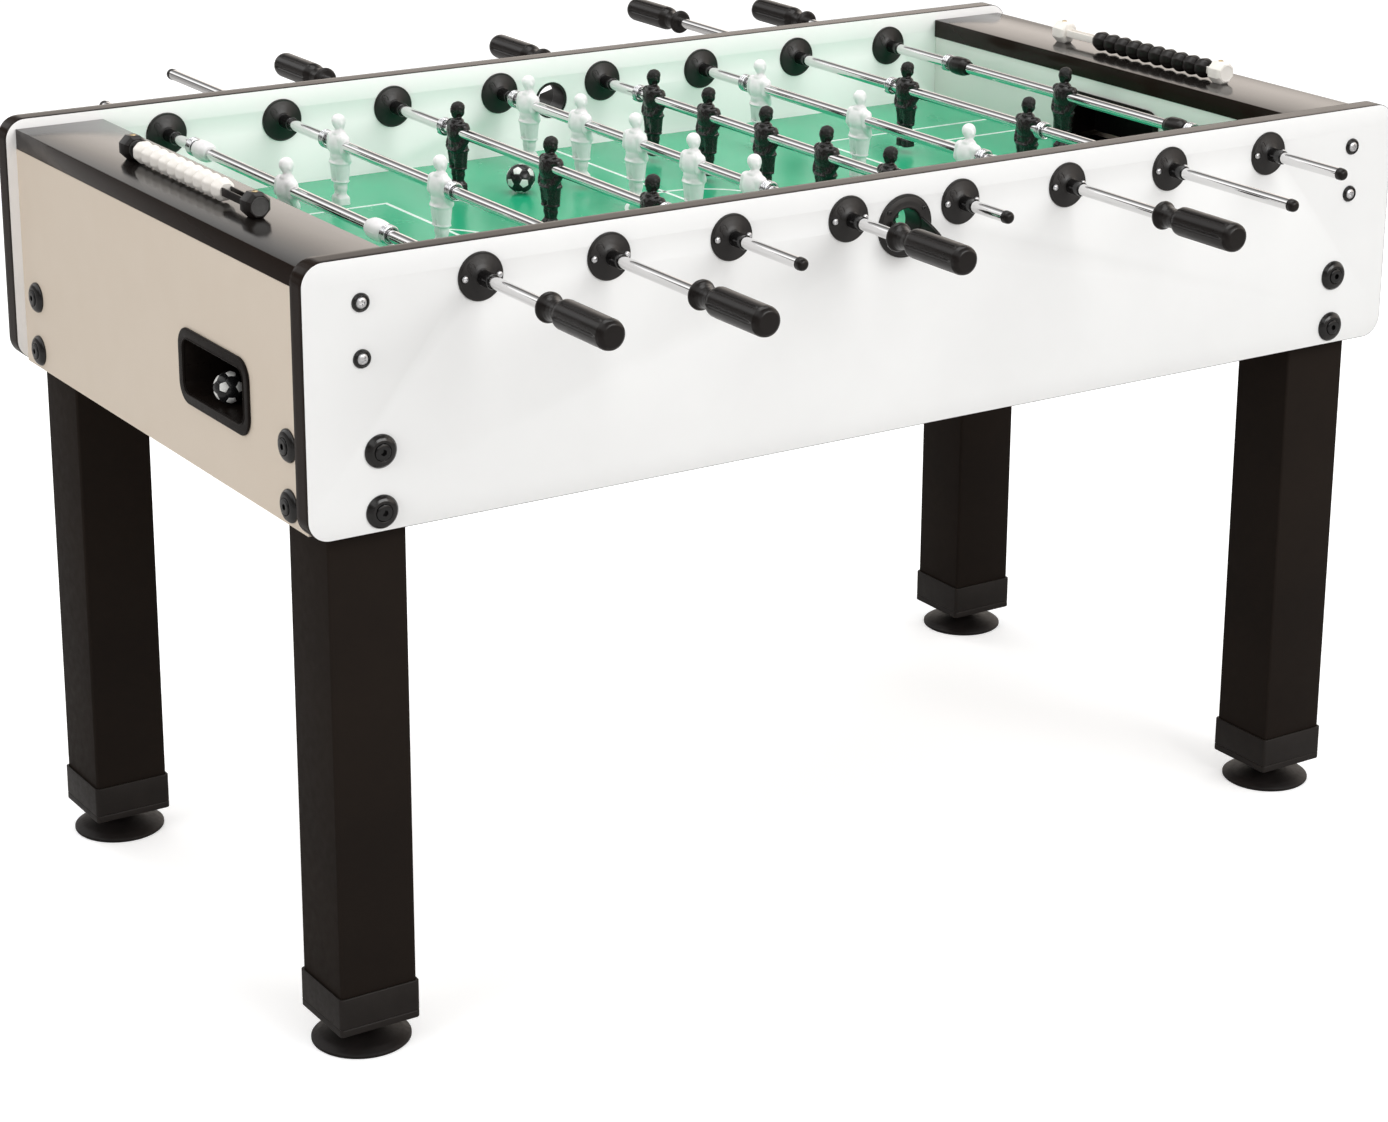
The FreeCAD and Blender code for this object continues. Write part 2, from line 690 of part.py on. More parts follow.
flutes = [
    link(flute, x="%s * cos(%d)" % (across, angle), y="%s * sin(%d)" % (across, angle), z="36")
    for angle in range(0, 360, 45)
]
handle = cut("handle", handle_body, compound("flutes", flutes))

# The end cap's tip is at z = 0 and it reaches down over the rod's end.
cap = turned("end_cap", [
    ("0", "0"),
    ("dims.cap_radius * 0.5", "-0.8"),
    ("dims.cap_radius * 0.87", "-3"),
    ("dims.cap_radius", "-6"),
    ("dims.cap_radius", "-dims.cap_length"),
    ("dims.rod_radius", "-dims.cap_length"),
    ("dims.rod_radius", "-6"),
    ("0", "-6"),
])

# --- the eight rods --------------------------------------------------------------------------
# kind of each rod, and whether its handle is at the front (white) or the back (black)
RODS = [
    ("goalie", "front"), ("two", "front"), ("three", "back"), ("five", "front"),
    ("five", "back"), ("three", "front"), ("two", "back"), ("goalie", "back"),
]
STANDS = {
    "goalie": ["0"],
    "two": ["-dims.two_gap / 2", "dims.two_gap / 2"],
    "three": ["-dims.three_gap", "0", "dims.three_gap"],
    "five": ["dims.five_gap * %d" % step for step in (-2, -1, 0, 1, 2)],
}
OUTERMOST = {
    "goalie": "(dims.sleeve_gap + dims.sleeve_length / 2)",
    "two": "(dims.two_gap / 2 + dims.body_width / 2)",
    "three": "(dims.three_gap + dims.body_width / 2)",
    "five": "(dims.five_gap * 2 + dims.body_width / 2)",
}

# Each kind is drawn once about its players' middle, with the handle towards -Y.
kinds = {}
for kind in ("goalie", "two", "three", "five"):
    reach = "dims.%s_reach" % kind
    tip = "dims.%s_tip" % kind
    length = "%s - 8 + %s - 6" % (reach, tip)
    tube = cut(
        kind + "_tube",
        cylinder(kind + "_bar", "dims.rod_radius", length, y="8 - " + reach, turn=TO_BACK),
        cylinder(kind + "_hollow", "dims.rod_bore", length, y="8 - " + reach, turn=TO_BACK),
    )
    figures = [link(player, y=stand) for stand in STANDS[kind]]
    if kind == "goalie":
        figures += [link(sleeve, y=side + "dims.sleeve_gap", turn=TO_BACK) for side in ("-", "")]
    start = "(%s + dims.spring_gap + dims.spring_wire)" % OUTERMOST[kind]
    kinds[kind] = {
        "tube": tube,
        "players": compound(kind + "_players", figures),
        "handle": compound(kind + "_handle", [
            link(handle, y="dims.handle_length - " + reach, turn=TO_FRONT),
            link(cap, y=tip, turn=TO_BACK),
        ]),
        "springs": compound(kind + "_springs", [
            link(spring, y=start, turn=TO_BACK),
            link(spring, y="-" + start, turn=TO_FRONT),
        ]),
    }

for number, (kind, side) in enumerate(RODS, start=1):
    turn = NO_TURN if side == "front" else HALF_TURN
    for piece, drawn in kinds[kind].items():
        node("rod_%d_%s" % (number, piece),
             link(drawn, rod_x(number), "dims.slide_%d" % number, "dims.rod_height", turn))

# --- legs and feet -----------------------------------------------------------------------
body, sketch = new_body("leg", "XY_Plane")
draw_outline(sketch, rectangle("dims.leg_side", "dims.leg_side", "-dims.leg_side / 2"))
bore_side = "dims.leg_side - 2 * dims.leg_wall"
draw_outline(sketch, rectangle(bore_side, bore_side, "-(%s) / 2" % bore_side))
pad(body, sketch, "dims.leg_top - dims.leg_base")
half_side = SIZES["leg_side"] / 2 - 0.1
soften(body, "dims.leg_corner",
       lambda edge: runs_along(edge, Vector(0, 0, 1)) and abs(edge.CenterOfMass.x) > half_side)
leg_middle = "(dims.leg_top + dims.leg_base) / 2"
legs = compound("leg_set", [link(body, x, y, leg_middle) for x, y in leg_places])

bolt_places = []
for side_x in ("-", ""):
    for side_y in ("-", ""):
        for level in ("high", "low"):
            bolt_places.append((
                side_x + "(dims.cabinet_length / 2 - dims.bolt_from_end)",
                side_y + HALF_WIDTH, "dims.bolt_" + level,
                TO_FRONT if side_y else TO_BACK,
            ))
            bolt_places.append((
                side_x + END_OUTSIDE,
                side_y + "(dims.cabinet_width / 2 - dims.bolt_from_side)", "dims.bolt_" + level,
                TO_LEFT if side_x else TO_RIGHT,
            ))
bolt_bore = cylinder("bolt_bore", "dims.bolt_hole", "dims.panel_thick + 15",
                     z="-dims.panel_thick - 12")
bolt_drill = compound("bolt_drill", [bolt_bore])
leg_bores = compound("leg_bores", [link(bolt_drill, *spot) for spot in bolt_places])
node("legs", cut("legs_drilled", legs, leg_bores))

collar_side = "dims.leg_side + 2 * dims.collar_wall"
shell = rounded("collar_round", box("collar_block", collar_side, collar_side,
                                    "dims.collar_top - dims.collar_base", z="dims.collar_base"),
                "leg_corner", lambda edge: runs_along(edge, Vector(0, 0, 1)))
pocket = rounded("collar_pocket_round",
                 box("collar_pocket", "dims.leg_side", "dims.leg_side",
                     "dims.collar_top - dims.leg_base + 1", z="dims.leg_base"),
                 "leg_corner", lambda edge: runs_along(edge, Vector(0, 0, 1)))
stem_bore = cylinder("stem_bore", "dims.stem_radius + dims.running_gap", "20",
                     z="dims.collar_base - 5")
collar = cut("collar", shell, compound("collar_spaces", [pocket, stem_bore]))
node("leg_collars", *[link(collar, x, y) for x, y in leg_places])

foot = turned("levelling_foot", [
    ("0", "0"),
    ("dims.foot_radius - 1.5", "0"),
    ("dims.foot_radius", "1.5"),
    ("dims.foot_radius", "dims.foot_edge"),
    ("dims.foot_radius * 0.82", "dims.foot_edge + dims.foot_rise * 0.4"),
    ("dims.foot_radius * 0.5", "dims.foot_edge + dims.foot_rise * 0.8"),
    ("dims.foot_boss", "dims.foot_edge + dims.foot_rise"),
    ("dims.foot_boss", "dims.foot_boss_top"),
    ("dims.stem_radius", "dims.foot_boss_top"),
    ("dims.stem_radius", "dims.stem_top"),
    ("0", "dims.stem_top"),
])
FOOT_NAMES = ("foot_left_front", "foot_left_back", "foot_right_front", "foot_right_back")
for label, (x, y) in zip(FOOT_NAMES, leg_places):
    node(label, link(foot, x, y))

# --- leg bolts and panel screws ------------------------------------------------------------
washer = turned("leg_washer", [
    ("dims.bolt_radius", "0"),
    ("dims.washer_radius", "0"),
    ("dims.washer_radius", "1.6"),
    ("dims.washer_radius * 0.86", "dims.washer_thick * 0.75"),
    ("dims.washer_radius * 0.66", "dims.washer_thick"),
    ("dims.bolt_head + 0.3", "dims.washer_thick"),
    ("dims.bolt_head + 0.3", "dims.washer_thick * 0.5"),
    ("dims.bolt_radius", "dims.washer_thick * 0.5"),
])
bolt_solid = turned("leg_bolt_solid", [
    ("0", "-dims.panel_thick - 14"),
    ("dims.bolt_radius", "-dims.panel_thick - 14"),
    ("dims.bolt_radius", "dims.washer_thick * 0.5"),
    ("dims.bolt_head", "dims.washer_thick * 0.5"),
    ("dims.bolt_head", "dims.washer_thick + 0.6"),
    ("dims.bolt_head - 1.4", "dims.washer_thick + 1.4"),
    ("0", "dims.washer_thick + 1.4"),
])
socket = doc.addObject("Part::Prism", "bolt_socket")
socket.Polygon = 6
bind(socket, Circumradius="dims.socket_size", Height="6")
place(socket, z="dims.washer_thick - 2")
bolt = cut("leg_bolt", bolt_solid, socket)
fastenings = []
for spot in bolt_places:
    fastenings += [link(washer, *spot), link(bolt, *spot)]
node("leg_bolts", *fastenings)

cup = turned("screw_cup", [
    ("dims.screw_radius", "0"),
    ("dims.cup_radius", "0"),
    ("dims.cup_radius", "1"),
    ("dims.cup_radius * 0.88", "dims.cup_thick * 0.8"),
    ("dims.cup_radius * 0.76", "dims.cup_thick"),
    ("dims.screw_head", "dims.cup_thick"),
    ("dims.screw_head", "1"),
    ("dims.screw_radius", "1"),
])
screw = turned("panel_screw", [
    ("0", "-dims.panel_thick"),
    ("dims.screw_radius", "-dims.panel_thick"),
    ("dims.screw_radius", "1"),
    ("dims.screw_head", "1"),
    ("dims.screw_head", "dims.cup_thick * 0.9"),
    ("dims.screw_head * 0.6", "dims.cup_thick + 0.8"),
    ("0", "dims.cup_thick + 1.2"),
])
screw_places = [
    (side_x + "(dims.cabinet_length / 2 - dims.screw_from_end)", side_y + HALF_WIDTH,
     "dims.screw_" + level, TO_FRONT if side_y else TO_BACK)
    for side_x in ("-", "") for side_y in ("-", "") for level in ("high", "low")
]
node("panel_screws", *[link(screw, *spot) for spot in screw_places])
node("panel_screw_cups", *[link(cup, *spot) for spot in screw_places])

# --- score counters ------------------------------------------------------------------------
# The counter runs along Y with its middle at y = 0; z = 0 is the bar's middle.
bar_half = "dims.counter_half - dims.post_length / 2"
channel = cut(
    "counter_channel",
    box("counter_bar", "dims.bar_width", "2 * (%s)" % bar_half, "dims.bar_height",
        z="-dims.bar_height / 2"),
    box("counter_slot", "dims.bar_width - 2 * dims.bar_wall", "2 * (%s) - 4" % bar_half,
        "dims.bar_height", z="-dims.bar_height / 2 + dims.bar_wall"),
)
posts = [prism("counter_post", "dims.post_flat", "dims.post_length",
               y="%s dims.counter_half - dims.post_length / 2" % side, turn=TO_BACK)
         for side in ("-", "")]
counter = fuse("counter", [channel] + posts)
bead = cut(
    "bead",
    prism("bead_block", "dims.bead_flat", "dims.bead_length", turn=TO_FRONT),
    box("bead_slot", "dims.bar_width + 2 * dims.bead_clear", "dims.bead_length * 3",
        "dims.bar_height + 2 * dims.bead_clear", z="-dims.bar_height / 2 - dims.bead_clear"),
)
bar_level = RAIL_TOP + " + dims.post_flat"
for side, sign in (("left", "-"), ("right", "")):
    x = sign + "dims.counter_from_middle"
    node(side + "_score_frame", link(counter, x=x, z=bar_level))
    node(side + "_score_beads", *[
        link(bead, x, "dims.%s_beads_from - dims.bead_pitch * %d" % (side, step), bar_level)
        for step in range(10)
    ])

# --- balls ---------------------------------------------------------------------------------
ball = doc.addObject("Part::Sphere", "ball")
bind(ball, Radius="dims.ball_radius")
node("match_ball", link(ball, "-dims.rod_spacing", "dims.ball_across",
                        "dims.field_top + dims.ball_radius + dims.ball_lift"))
tray_floor = "dims.tray_middle_z - dims.tray_height / 2 + dims.tray_rim"
node("tray_ball", link(ball, "-(dims.cabinet_length / 2 - dims.tray_ball_in)",
                       "-dims.tray_ball_across",
                       tray_floor + " + dims.ball_radius + dims.ball_lift"))

doc.recompute()
for thing in doc.Objects:
    if "Invalid" in thing.State or "Error" in thing.State:
        raise RuntimeError("%s failed: %s" % (thing.Label, thing.State))
os.makedirs("parts", exist_ok=True)
for piece in nodes:
    if piece.Shape.isNull() or not piece.Shape.isValid():
        raise RuntimeError("%s is not a valid shape" % piece.Label)
    piece.Shape.exportStep("parts/%s.step" % piece.Label)
    bounds = piece.Shape.BoundBox
    print("%-20s solids %2d  volume %11.0f  x %7.1f %7.1f  y %7.1f %7.1f  z %6.1f %6.1f" % (
        piece.Label, len(piece.Shape.Solids), piece.Shape.Volume, bounds.XMin, bounds.XMax,
        bounds.YMin, bounds.YMax, bounds.ZMin, bounds.ZMax))
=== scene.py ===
import math

import bmesh
import bpy
from mathutils import Matrix, Vector, geometry, noise


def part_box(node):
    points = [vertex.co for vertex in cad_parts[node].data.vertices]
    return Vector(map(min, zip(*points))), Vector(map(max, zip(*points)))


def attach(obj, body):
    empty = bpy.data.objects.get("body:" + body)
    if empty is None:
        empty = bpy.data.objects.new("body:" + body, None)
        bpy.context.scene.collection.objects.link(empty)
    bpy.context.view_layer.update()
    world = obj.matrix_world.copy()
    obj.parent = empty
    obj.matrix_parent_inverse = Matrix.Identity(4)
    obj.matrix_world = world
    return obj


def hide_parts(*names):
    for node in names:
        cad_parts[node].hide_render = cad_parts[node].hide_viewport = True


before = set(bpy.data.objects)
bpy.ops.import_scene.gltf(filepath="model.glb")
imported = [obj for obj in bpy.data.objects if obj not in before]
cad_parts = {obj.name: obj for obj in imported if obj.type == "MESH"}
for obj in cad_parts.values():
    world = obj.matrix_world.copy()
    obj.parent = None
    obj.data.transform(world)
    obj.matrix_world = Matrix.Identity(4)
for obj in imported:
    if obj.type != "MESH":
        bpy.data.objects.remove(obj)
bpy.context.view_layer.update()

# All sizes below are in millimetres; a mesh becomes metres when it is made.
MM = 0.001
TINY = 1e-6


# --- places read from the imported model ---
class Place:
    """The box of a CAD node, in millimetres."""

    def __init__(self, node):
        low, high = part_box(node)
        self.low = low / MM
        self.high = high / MM
        self.middle = (self.low + self.high) / 2
        self.size = self.high - self.low


front = Place("front_panel")
rails = Place("end_top_rails")
field = Place("playfield")
back_face = Place("back_panel").high.y
end_outside = Place("end_panels").high.x

MIDDLE_Y = (front.low.y + back_face) / 2
HALF_WIDE = (back_face - front.low.y) / 2
ROD_X = [Place("rod_%d_tube" % k).middle.x for k in range(1, 9)]
ROD_Z = Place("rod_1_tube").middle.z

LEFT_RIGHT = (("left", -1), ("right", 1))
# the label of a long side, the sign of its y, and the turn that faces it
FRONT_BACK = (("front", -1, 0), ("back", 1, 180))


def spot(x, y, z, turn=0.0):
    """A place in the row frame: y is measured from the cabinet's middle, turn is about Z."""
    where = Vector((x, MIDDLE_Y + y, z)) * MM
    return Matrix.Translation(where) @ about("Z", turn)


def about(axis, degrees):
    return Matrix.Rotation(math.radians(degrees), 4, axis)


def facing(x, y, z, turn=0.0):
    """As spot, for a piece drawn flat: its x runs across, its y up and its z points outwards,
    towards the front when turn is 0, the right at 90, the back at 180, the left at -90."""
    return spot(x, y, z, turn) @ about("X", 90)


def around(radius, angle):
    """The x and y of a point at this angle, in radians, on a circle."""
    return radius * math.cos(angle), radius * math.sin(angle)


# --- materials ---
class Nodes:
    """A short way to write a shader tree."""

    def __init__(self, owner):
        owner.use_nodes = True
        self.tree = owner.node_tree
        self.tree.nodes.clear()

    def add(self, kind, **settings):
        """A node; a setting in_Some_Entry is the value of its entry "Some Entry"."""
        made = self.tree.nodes.new("ShaderNode" + kind)
        for key, value in settings.items():
            if key.startswith("in_"):
                made.inputs[key[3:].replace("_", " ")].default_value = value
            else:
                setattr(made, key, value)
        return made

    def join(self, source, output, target, entry):
        self.tree.links.new(source.outputs[output], target.inputs[entry])

    def by_ray(self, ray, others, chosen):
        """The chosen shader for rays of one sort, and others for the rest."""
        mixed = self.add("MixShader")
        self.join(self.add("LightPath"), ray, mixed, 0)
        self.join(others, 0, mixed, 1)
        self.join(chosen, 0, mixed, 2)
        return mixed


def rgb(red, green, blue):
    """A screen colour, 0 to 255, as the linear colour that a shader takes."""
    linear = []
    for channel in (red, green, blue):
        c = channel / 255
        linear.append(c / 12.92 if c <= 0.04045 else ((c + 0.055) / 1.055) ** 2.4)
    return tuple(linear) + (1.0,)


PAINT = {}


def material(name, colour, second, patches, rough, smears, relief, specular=0.5,
             metallic=0.0, stretch=(1, 1, 1), painted_edge_highlight=None, grain=False):
    """A painted, moulded or plated finish. Its colour wanders between colour and second in
    patches, its roughness between the two of rough in smears (both are noise scales), and
    relief is the strength, the scale and the depth in metres of fine bumps. The colour given
    for the edges is a painted highlight, laid on sharp edges by their pointiness."""
    PAINT[name] = bpy.data.materials.new(name)
    n = Nodes(PAINT[name])
    shader = n.add("BsdfPrincipled", in_Metallic=metallic, in_Specular_IOR_Level=specular)
    n.join(shader, "BSDF", n.add("OutputMaterial"), "Surface")
    scaled = n.add("Mapping", in_Scale=stretch)
    n.join(n.add("TexCoord"), "Object", scaled, "Vector")

    clouds = n.add("TexNoise", in_Scale=patches, in_Detail=4.0, in_Roughness=0.6)
    n.join(scaled, "Vector", clouds, "Vector")
    tint = n.add("ValToRGB")
    for stop, position, shade in zip(tint.color_ramp.elements, (0.35, 0.68), (colour, second)):
        stop.position = position
        stop.color = rgb(*shade)
    n.join(clouds, "Fac", tint, "Fac")
    # painted highlight: a lighter colour mixed in on sharp edges, where the pointiness is high
    if painted_edge_highlight:
        highlight_mask = n.add("MapRange", in_From_Min=0.52, in_From_Max=0.62)
        n.join(n.add("NewGeometry"), "Pointiness", highlight_mask, "Value")
        mix = n.add("Mix", data_type="RGBA")
        n.join(highlight_mask, "Result", mix, "Factor")
        # a Mix node's colours are its entries 6 and 7 and its output 2
        n.join(tint, "Color", mix, 6)
        mix.inputs[7].default_value = rgb(*painted_edge_highlight)
        n.join(mix, 2, shader, "Base Color")
    else:
        n.join(tint, "Color", shader, "Base Color")

    marks = n.add("TexNoise", in_Scale=smears, in_Detail=3.0)
    n.join(scaled, "Vector", marks, "Vector")
    polish = n.add("MapRange", in_From_Min=0.3, in_From_Max=0.7,
                   in_To_Min=rough[0], in_To_Max=rough[1])
    n.join(marks, "Fac", polish, "Value")
    n.join(polish, "Result", shader, "Roughness")

    strength, scale, depth = relief
    if grain:
        texture = n.add("TexVoronoi", in_Scale=scale)
    else:
        texture = n.add("TexNoise", in_Scale=scale, in_Detail=2.0)
    n.join(scaled, "Vector", texture, "Vector")
    bumps = n.add("Bump", in_Strength=strength, in_Distance=depth)
    n.join(texture, "Distance" if grain else "Fac", bumps, "Height")
    n.join(bumps, "Normal", shader, "Normal")


for name, colour, second, patches, rough, specular in (
        ("white_laminate", (239, 239, 238), (244, 244, 243), 3, (0.34, 0.42), 0.4),
        # the panels' inner faces: the same laminate painted lighter and a little pink, painted
        # light against the shade and the green light thrown up by the field
        ("inner_laminate_painted_light", (250, 248, 246), (253, 251, 249), 3, (0.34, 0.42), 0.4),
        # the end panels: a darker, beige copy of the laminate, its darkness painted shade
        ("end_laminate", (214, 200, 183), (218, 205, 189), 2.5, (0.36, 0.46), 0.35),
        ("pale_wall", (236, 232, 229), (240, 236, 233), 3, (0.32, 0.42), 0.4)):
    material(name, colour, second, patches, rough, 25, (0.2, 420, 4e-5), specular)
material("edge_band", (31, 24, 20), (36, 28, 24), 14, (0.14, 0.18), 70, (0.1, 1400, 2e-5), 0.06)
material("black_rail", (26, 23, 21), (29, 26, 24), 3, (0.13, 0.17), 12, (0.1, 300, 1e-5), 0.66)
material("green_field", (32, 168, 121), (37, 174, 126), 4, (0.2, 0.28), 18, (0.15, 260, 4e-5))
material("field_paint", (224, 238, 230), (234, 244, 238), 40, (0.25, 0.36), 120,
         (0.2, 700, 4e-5))
material("raw_board", (178, 152, 120), (150, 124, 94), 60, (0.6, 0.8), 200, (0.5, 1500, 3e-4),
         stretch=(1, 1, 3))
material("satin_black", (25, 23, 22), (31, 28, 27), 60, (0.3, 0.4), 240, (0.2, 2600, 5e-5), 0.4)
material("grip_black", (18, 14, 12), (22, 17, 15), 40, (0.27, 0.33), 90, (0.12, 2200, 3e-5),
         0.28)
material("bush_black", (12, 11, 11), (17, 16, 16), 90, (0.1, 0.16), 260, (0.1, 1800, 3e-5))
material("tray_black", (20, 16, 14), (26, 21, 18), 70, (0.26, 0.36), 200, (0.3, 2000, 5e-5),
         0.08, grain=True)
material("gloss_black", (15, 13, 12), (20, 18, 17), 80, (0.16, 0.24), 260, (0.12, 1800, 3e-5))
material("moulded_white", (232, 229, 229), (240, 237, 237), 70, (0.34, 0.46), 260,
         (0.3, 1500, 1e-4), 0.4)
material("bead_white", (233, 228, 221), (240, 235, 228), 30, (0.3, 0.38), 120,
         (0.15, 1500, 5e-5), 0.4)
material("post_cap", (62, 61, 60), (74, 73, 72), 200, (0.3, 0.42), 400, (0.3, 1800, 8e-5), 0.4)
material("brass", (196, 176, 140), (176, 156, 120), 400, (0.25, 0.38), 800, (0.2, 2500, 4e-5),
         metallic=1)
material("player_black", (17, 14, 13), (23, 20, 18), 220, (0.2, 0.3), 500, (0.4, 1300, 1.5e-4),
         0.45, stretch=(1, 1, 0.45))
material("hair_black", (17, 16, 15), (28, 26, 24), 320, (0.34, 0.5), 700, (0.7, 1500, 4e-4),
         0.3, stretch=(0.5, 1.6, 0.5))
material("chrome", (226, 225, 225), (220, 219, 219), 6, (0.06, 0.09), 14, (0.05, 60, 1e-5),
         metallic=1, stretch=(1, 0.2, 1))
material("spring_chrome", (220, 220, 221), (202, 202, 205), 300, (0.08, 0.16), 500,
         (0.15, 2500, 4e-5), metallic=1)
material("screw_steel", (226, 226, 227), (204, 204, 206), 500, (0.3, 0.42), 900,
         (0.2, 3000, 5e-5), metallic=1)
material("powder_black", (33, 28, 25), (37, 31, 27), 6, (0.42, 0.52), 90, (0.4, 1600, 1e-4),
         0.03)
# the collars' lighter edges are a painted highlight
material("collar_black", (24, 20, 18), (30, 26, 24), 30, (0.38, 0.48), 160, (0.4, 1800, 8e-5),
         0.22, painted_edge_highlight=(42, 37, 34), grain=True)
material("foot_black", (23, 20, 19), (30, 26, 25), 50, (0.42, 0.55), 200, (0.4, 1500, 1.2e-4),
         0.22)
# a darker black for the deep ends of the goals and the tray's feed: painted shade
material("painted_shade_black", (12, 11, 11), (17, 15, 15), 40, (0.5, 0.65), 150, (0.4, 900, 2e-4),
         0.15)
material("ball_black", (22, 22, 23), (29, 29, 30), 120, (0.2, 0.3), 300, (0.3, 1600, 1e-4), 0.4)
material("ball_white", (224, 224, 221), (236, 236, 233), 120, (0.24, 0.36), 300,
         (0.3, 1600, 1e-4))


# --- meshes ---
class Shape:
    """Points in millimetres and the faces between them, with a finish number for each face."""

    def __init__(self):
        self.points = []
        self.faces = []
        self.finish = []

    def add(self, points, faces, finish=0, move=None):
        first = len(self.points)
        for p in points:
            p = Vector(p)
            self.points.append(move @ p if move else p)
        for face in faces:
            self.faces.append([first + i for i in face])
            self.finish.append(finish)
        return self

    def mesh(self, name, *finishes, sharp=38.0, scale=MM):
        made = bpy.data.meshes.new(name)
        made.from_pydata([p * scale for p in self.points], [], self.faces)
        for finish in finishes:
            made.materials.append(PAINT[finish])
        made.polygons.foreach_set("material_index", self.finish)
        work = bmesh.new()
        work.from_mesh(made)
        bmesh.ops.remove_doubles(work, verts=work.verts, dist=0.0005 * scale)
        bmesh.ops.recalc_face_normals(work, faces=work.faces)
        work.to_mesh(made)
        work.free()
        return smooth(made, sharp)


def smooth(mesh, sharp=38.0):
    """The mesh with smooth shading, but for edges sharper than this many degrees."""
    mesh.polygons.foreach_set("use_smooth", [True] * len(mesh.polygons))
    mesh.set_sharp_from_angle(angle=math.radians(sharp))
    mesh.update()
    return mesh


def refinished(mesh, name, finish):
    """A copy of the mesh with another finish."""
    made = mesh.copy()
    made.name = name
    made.materials[0] = PAINT[finish]
    return made


def piece(name, mesh, slot, where, *replaced, body="cabinet"):
    """One piece of the table, in place and riding on its body."""
    made = bpy.data.objects.new(name, mesh)
    bpy.context.scene.collection.objects.link(made)
    made.matrix_world = where
    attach(made, body)
    if replaced:
        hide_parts(*replaced)


def curved(points, steps=4, closed=False):
    """Rounds the corners of a run of (a, b, radius) points; a radius of 0 stays sharp."""
    result = []
    count = len(points)
    for i, point in enumerate(points):
        here = Vector(point[:2])
        radius = point[2] if len(point) > 2 else 0
        if radius <= 0 or (not closed and i in (0, count - 1)):
            result.append(tuple(here))
            continue
        before = Vector(points[i - 1][:2]) - here
        after = Vector(points[(i + 1) % count][:2]) - here
        angle = before.angle(after)
        reach = min(radius / max(math.tan(angle / 2), 0.02),
                    before.length * 0.49, after.length * 0.49)
        a = here + before.normalized() * reach
        b = here + after.normalized() * reach
        for step in range(steps + 1):
            t = step / steps
            result.append(tuple(a * (1 - t) ** 2 + here * 2 * t * (1 - t) + b * t * t))
    return result


def ring(radius, steps=48, x=0.0, y=0.0, hole=False):
    """A circle of points, clockwise when it bounds a hole."""
    way = -1 if hole else 1
    return [(x + radius * math.cos(way * math.tau * i / steps),
             y + radius * math.sin(way * math.tau * i / steps)) for i in range(steps)]


def oblong(width, height, radius, y=0.0, steps=8, hole=False):
    """A rectangle with round corners, clockwise when it bounds a hole."""
    w, h = width / 2, height / 2
    corners = []
    for cx, cy, start in ((w, h, 0), (-w, h, 90), (-w, -h, 180), (w, -h, 270)):
        sx, sy = math.copysign(1, cx), math.copysign(1, cy)
        for i in range(steps + 1):
            a = math.radians(start + 90 * i / steps)
            corners.append((cx - sx * radius + radius * math.cos(a),
                            y + cy - sy * radius + radius * math.sin(a)))
    return corners[::-1] if hole else corners


def beside(points, i, closed):
    """The points before and after point i, or point i itself past an open end."""
    return (points[i - 1] if closed or i else points[i],
            points[(i + 1) % len(points)] if closed or i < len(points) - 1 else points[i])


def lean(points, distance):
    """Moves a closed run of points to its left by distance."""
    moved = []
    count = len(points)
    for i in range(count):
        a, b, c = (Vector(points[(i + k) % count]) for k in (-1, 0, 1))
        first, second = (b - a).normalized(), (c - b).normalized()
        n1, n2 = Vector((-first.y, first.x)), Vector((-second.y, second.x))
        n = n1 + n2
        if n.length < TINY:
            n = n1
        n.normalize()
        moved.append(tuple(b + n * distance / max(n.dot(n1), 0.4)))
    return moved


def skin(rows, count, closed=False):
    """The faces between closed rows of count points; closed joins the last row to the first."""
    faces = []
    for k in range(rows if closed else rows - 1):
        a, b = k * count, (k + 1) % rows * count
        faces += [(a + i, a + (i + 1) % count, b + (i + 1) % count, b + i)
                  for i in range(count)]
    return faces


def plate(rings, low, high, bevel=0.6, steps=2, shape=None, finish=0, side_finish=None,
          low_finish=None):
    """A flat board between z = low and z = high. The first ring is its outline, anticlockwise,
    and the others are its holes, clockwise. Its edges are rounded by bevel."""
    shape = shape or Shape()
    side_finish = finish if side_finish is None else side_finish
    levels = []
    for i in range(steps + 1):
        a = math.pi / 2 * i / steps
        levels.append((bevel * (1 - math.sin(a)), high - bevel * (1 - math.cos(a))))
    levels += [(d, low + high - z) for d, z in reversed(levels)]
    for r in rings:
        points = [(x, y, z) for d, z in levels for x, y in lean(r, d)]
        shape.add(points, skin(len(levels), len(r)), side_finish)
    top = [lean(r, levels[0][0]) for r in rings]
    triangles = geometry.tessellate_polygon([[Vector((x, y, 0)) for x, y in r] for r in top])
    for z, face_finish in ((high, finish), (low, finish if low_finish is None else low_finish)):
        shape.add([(x, y, z) for r in top for x, y in r], triangles, face_finish)
    return shape


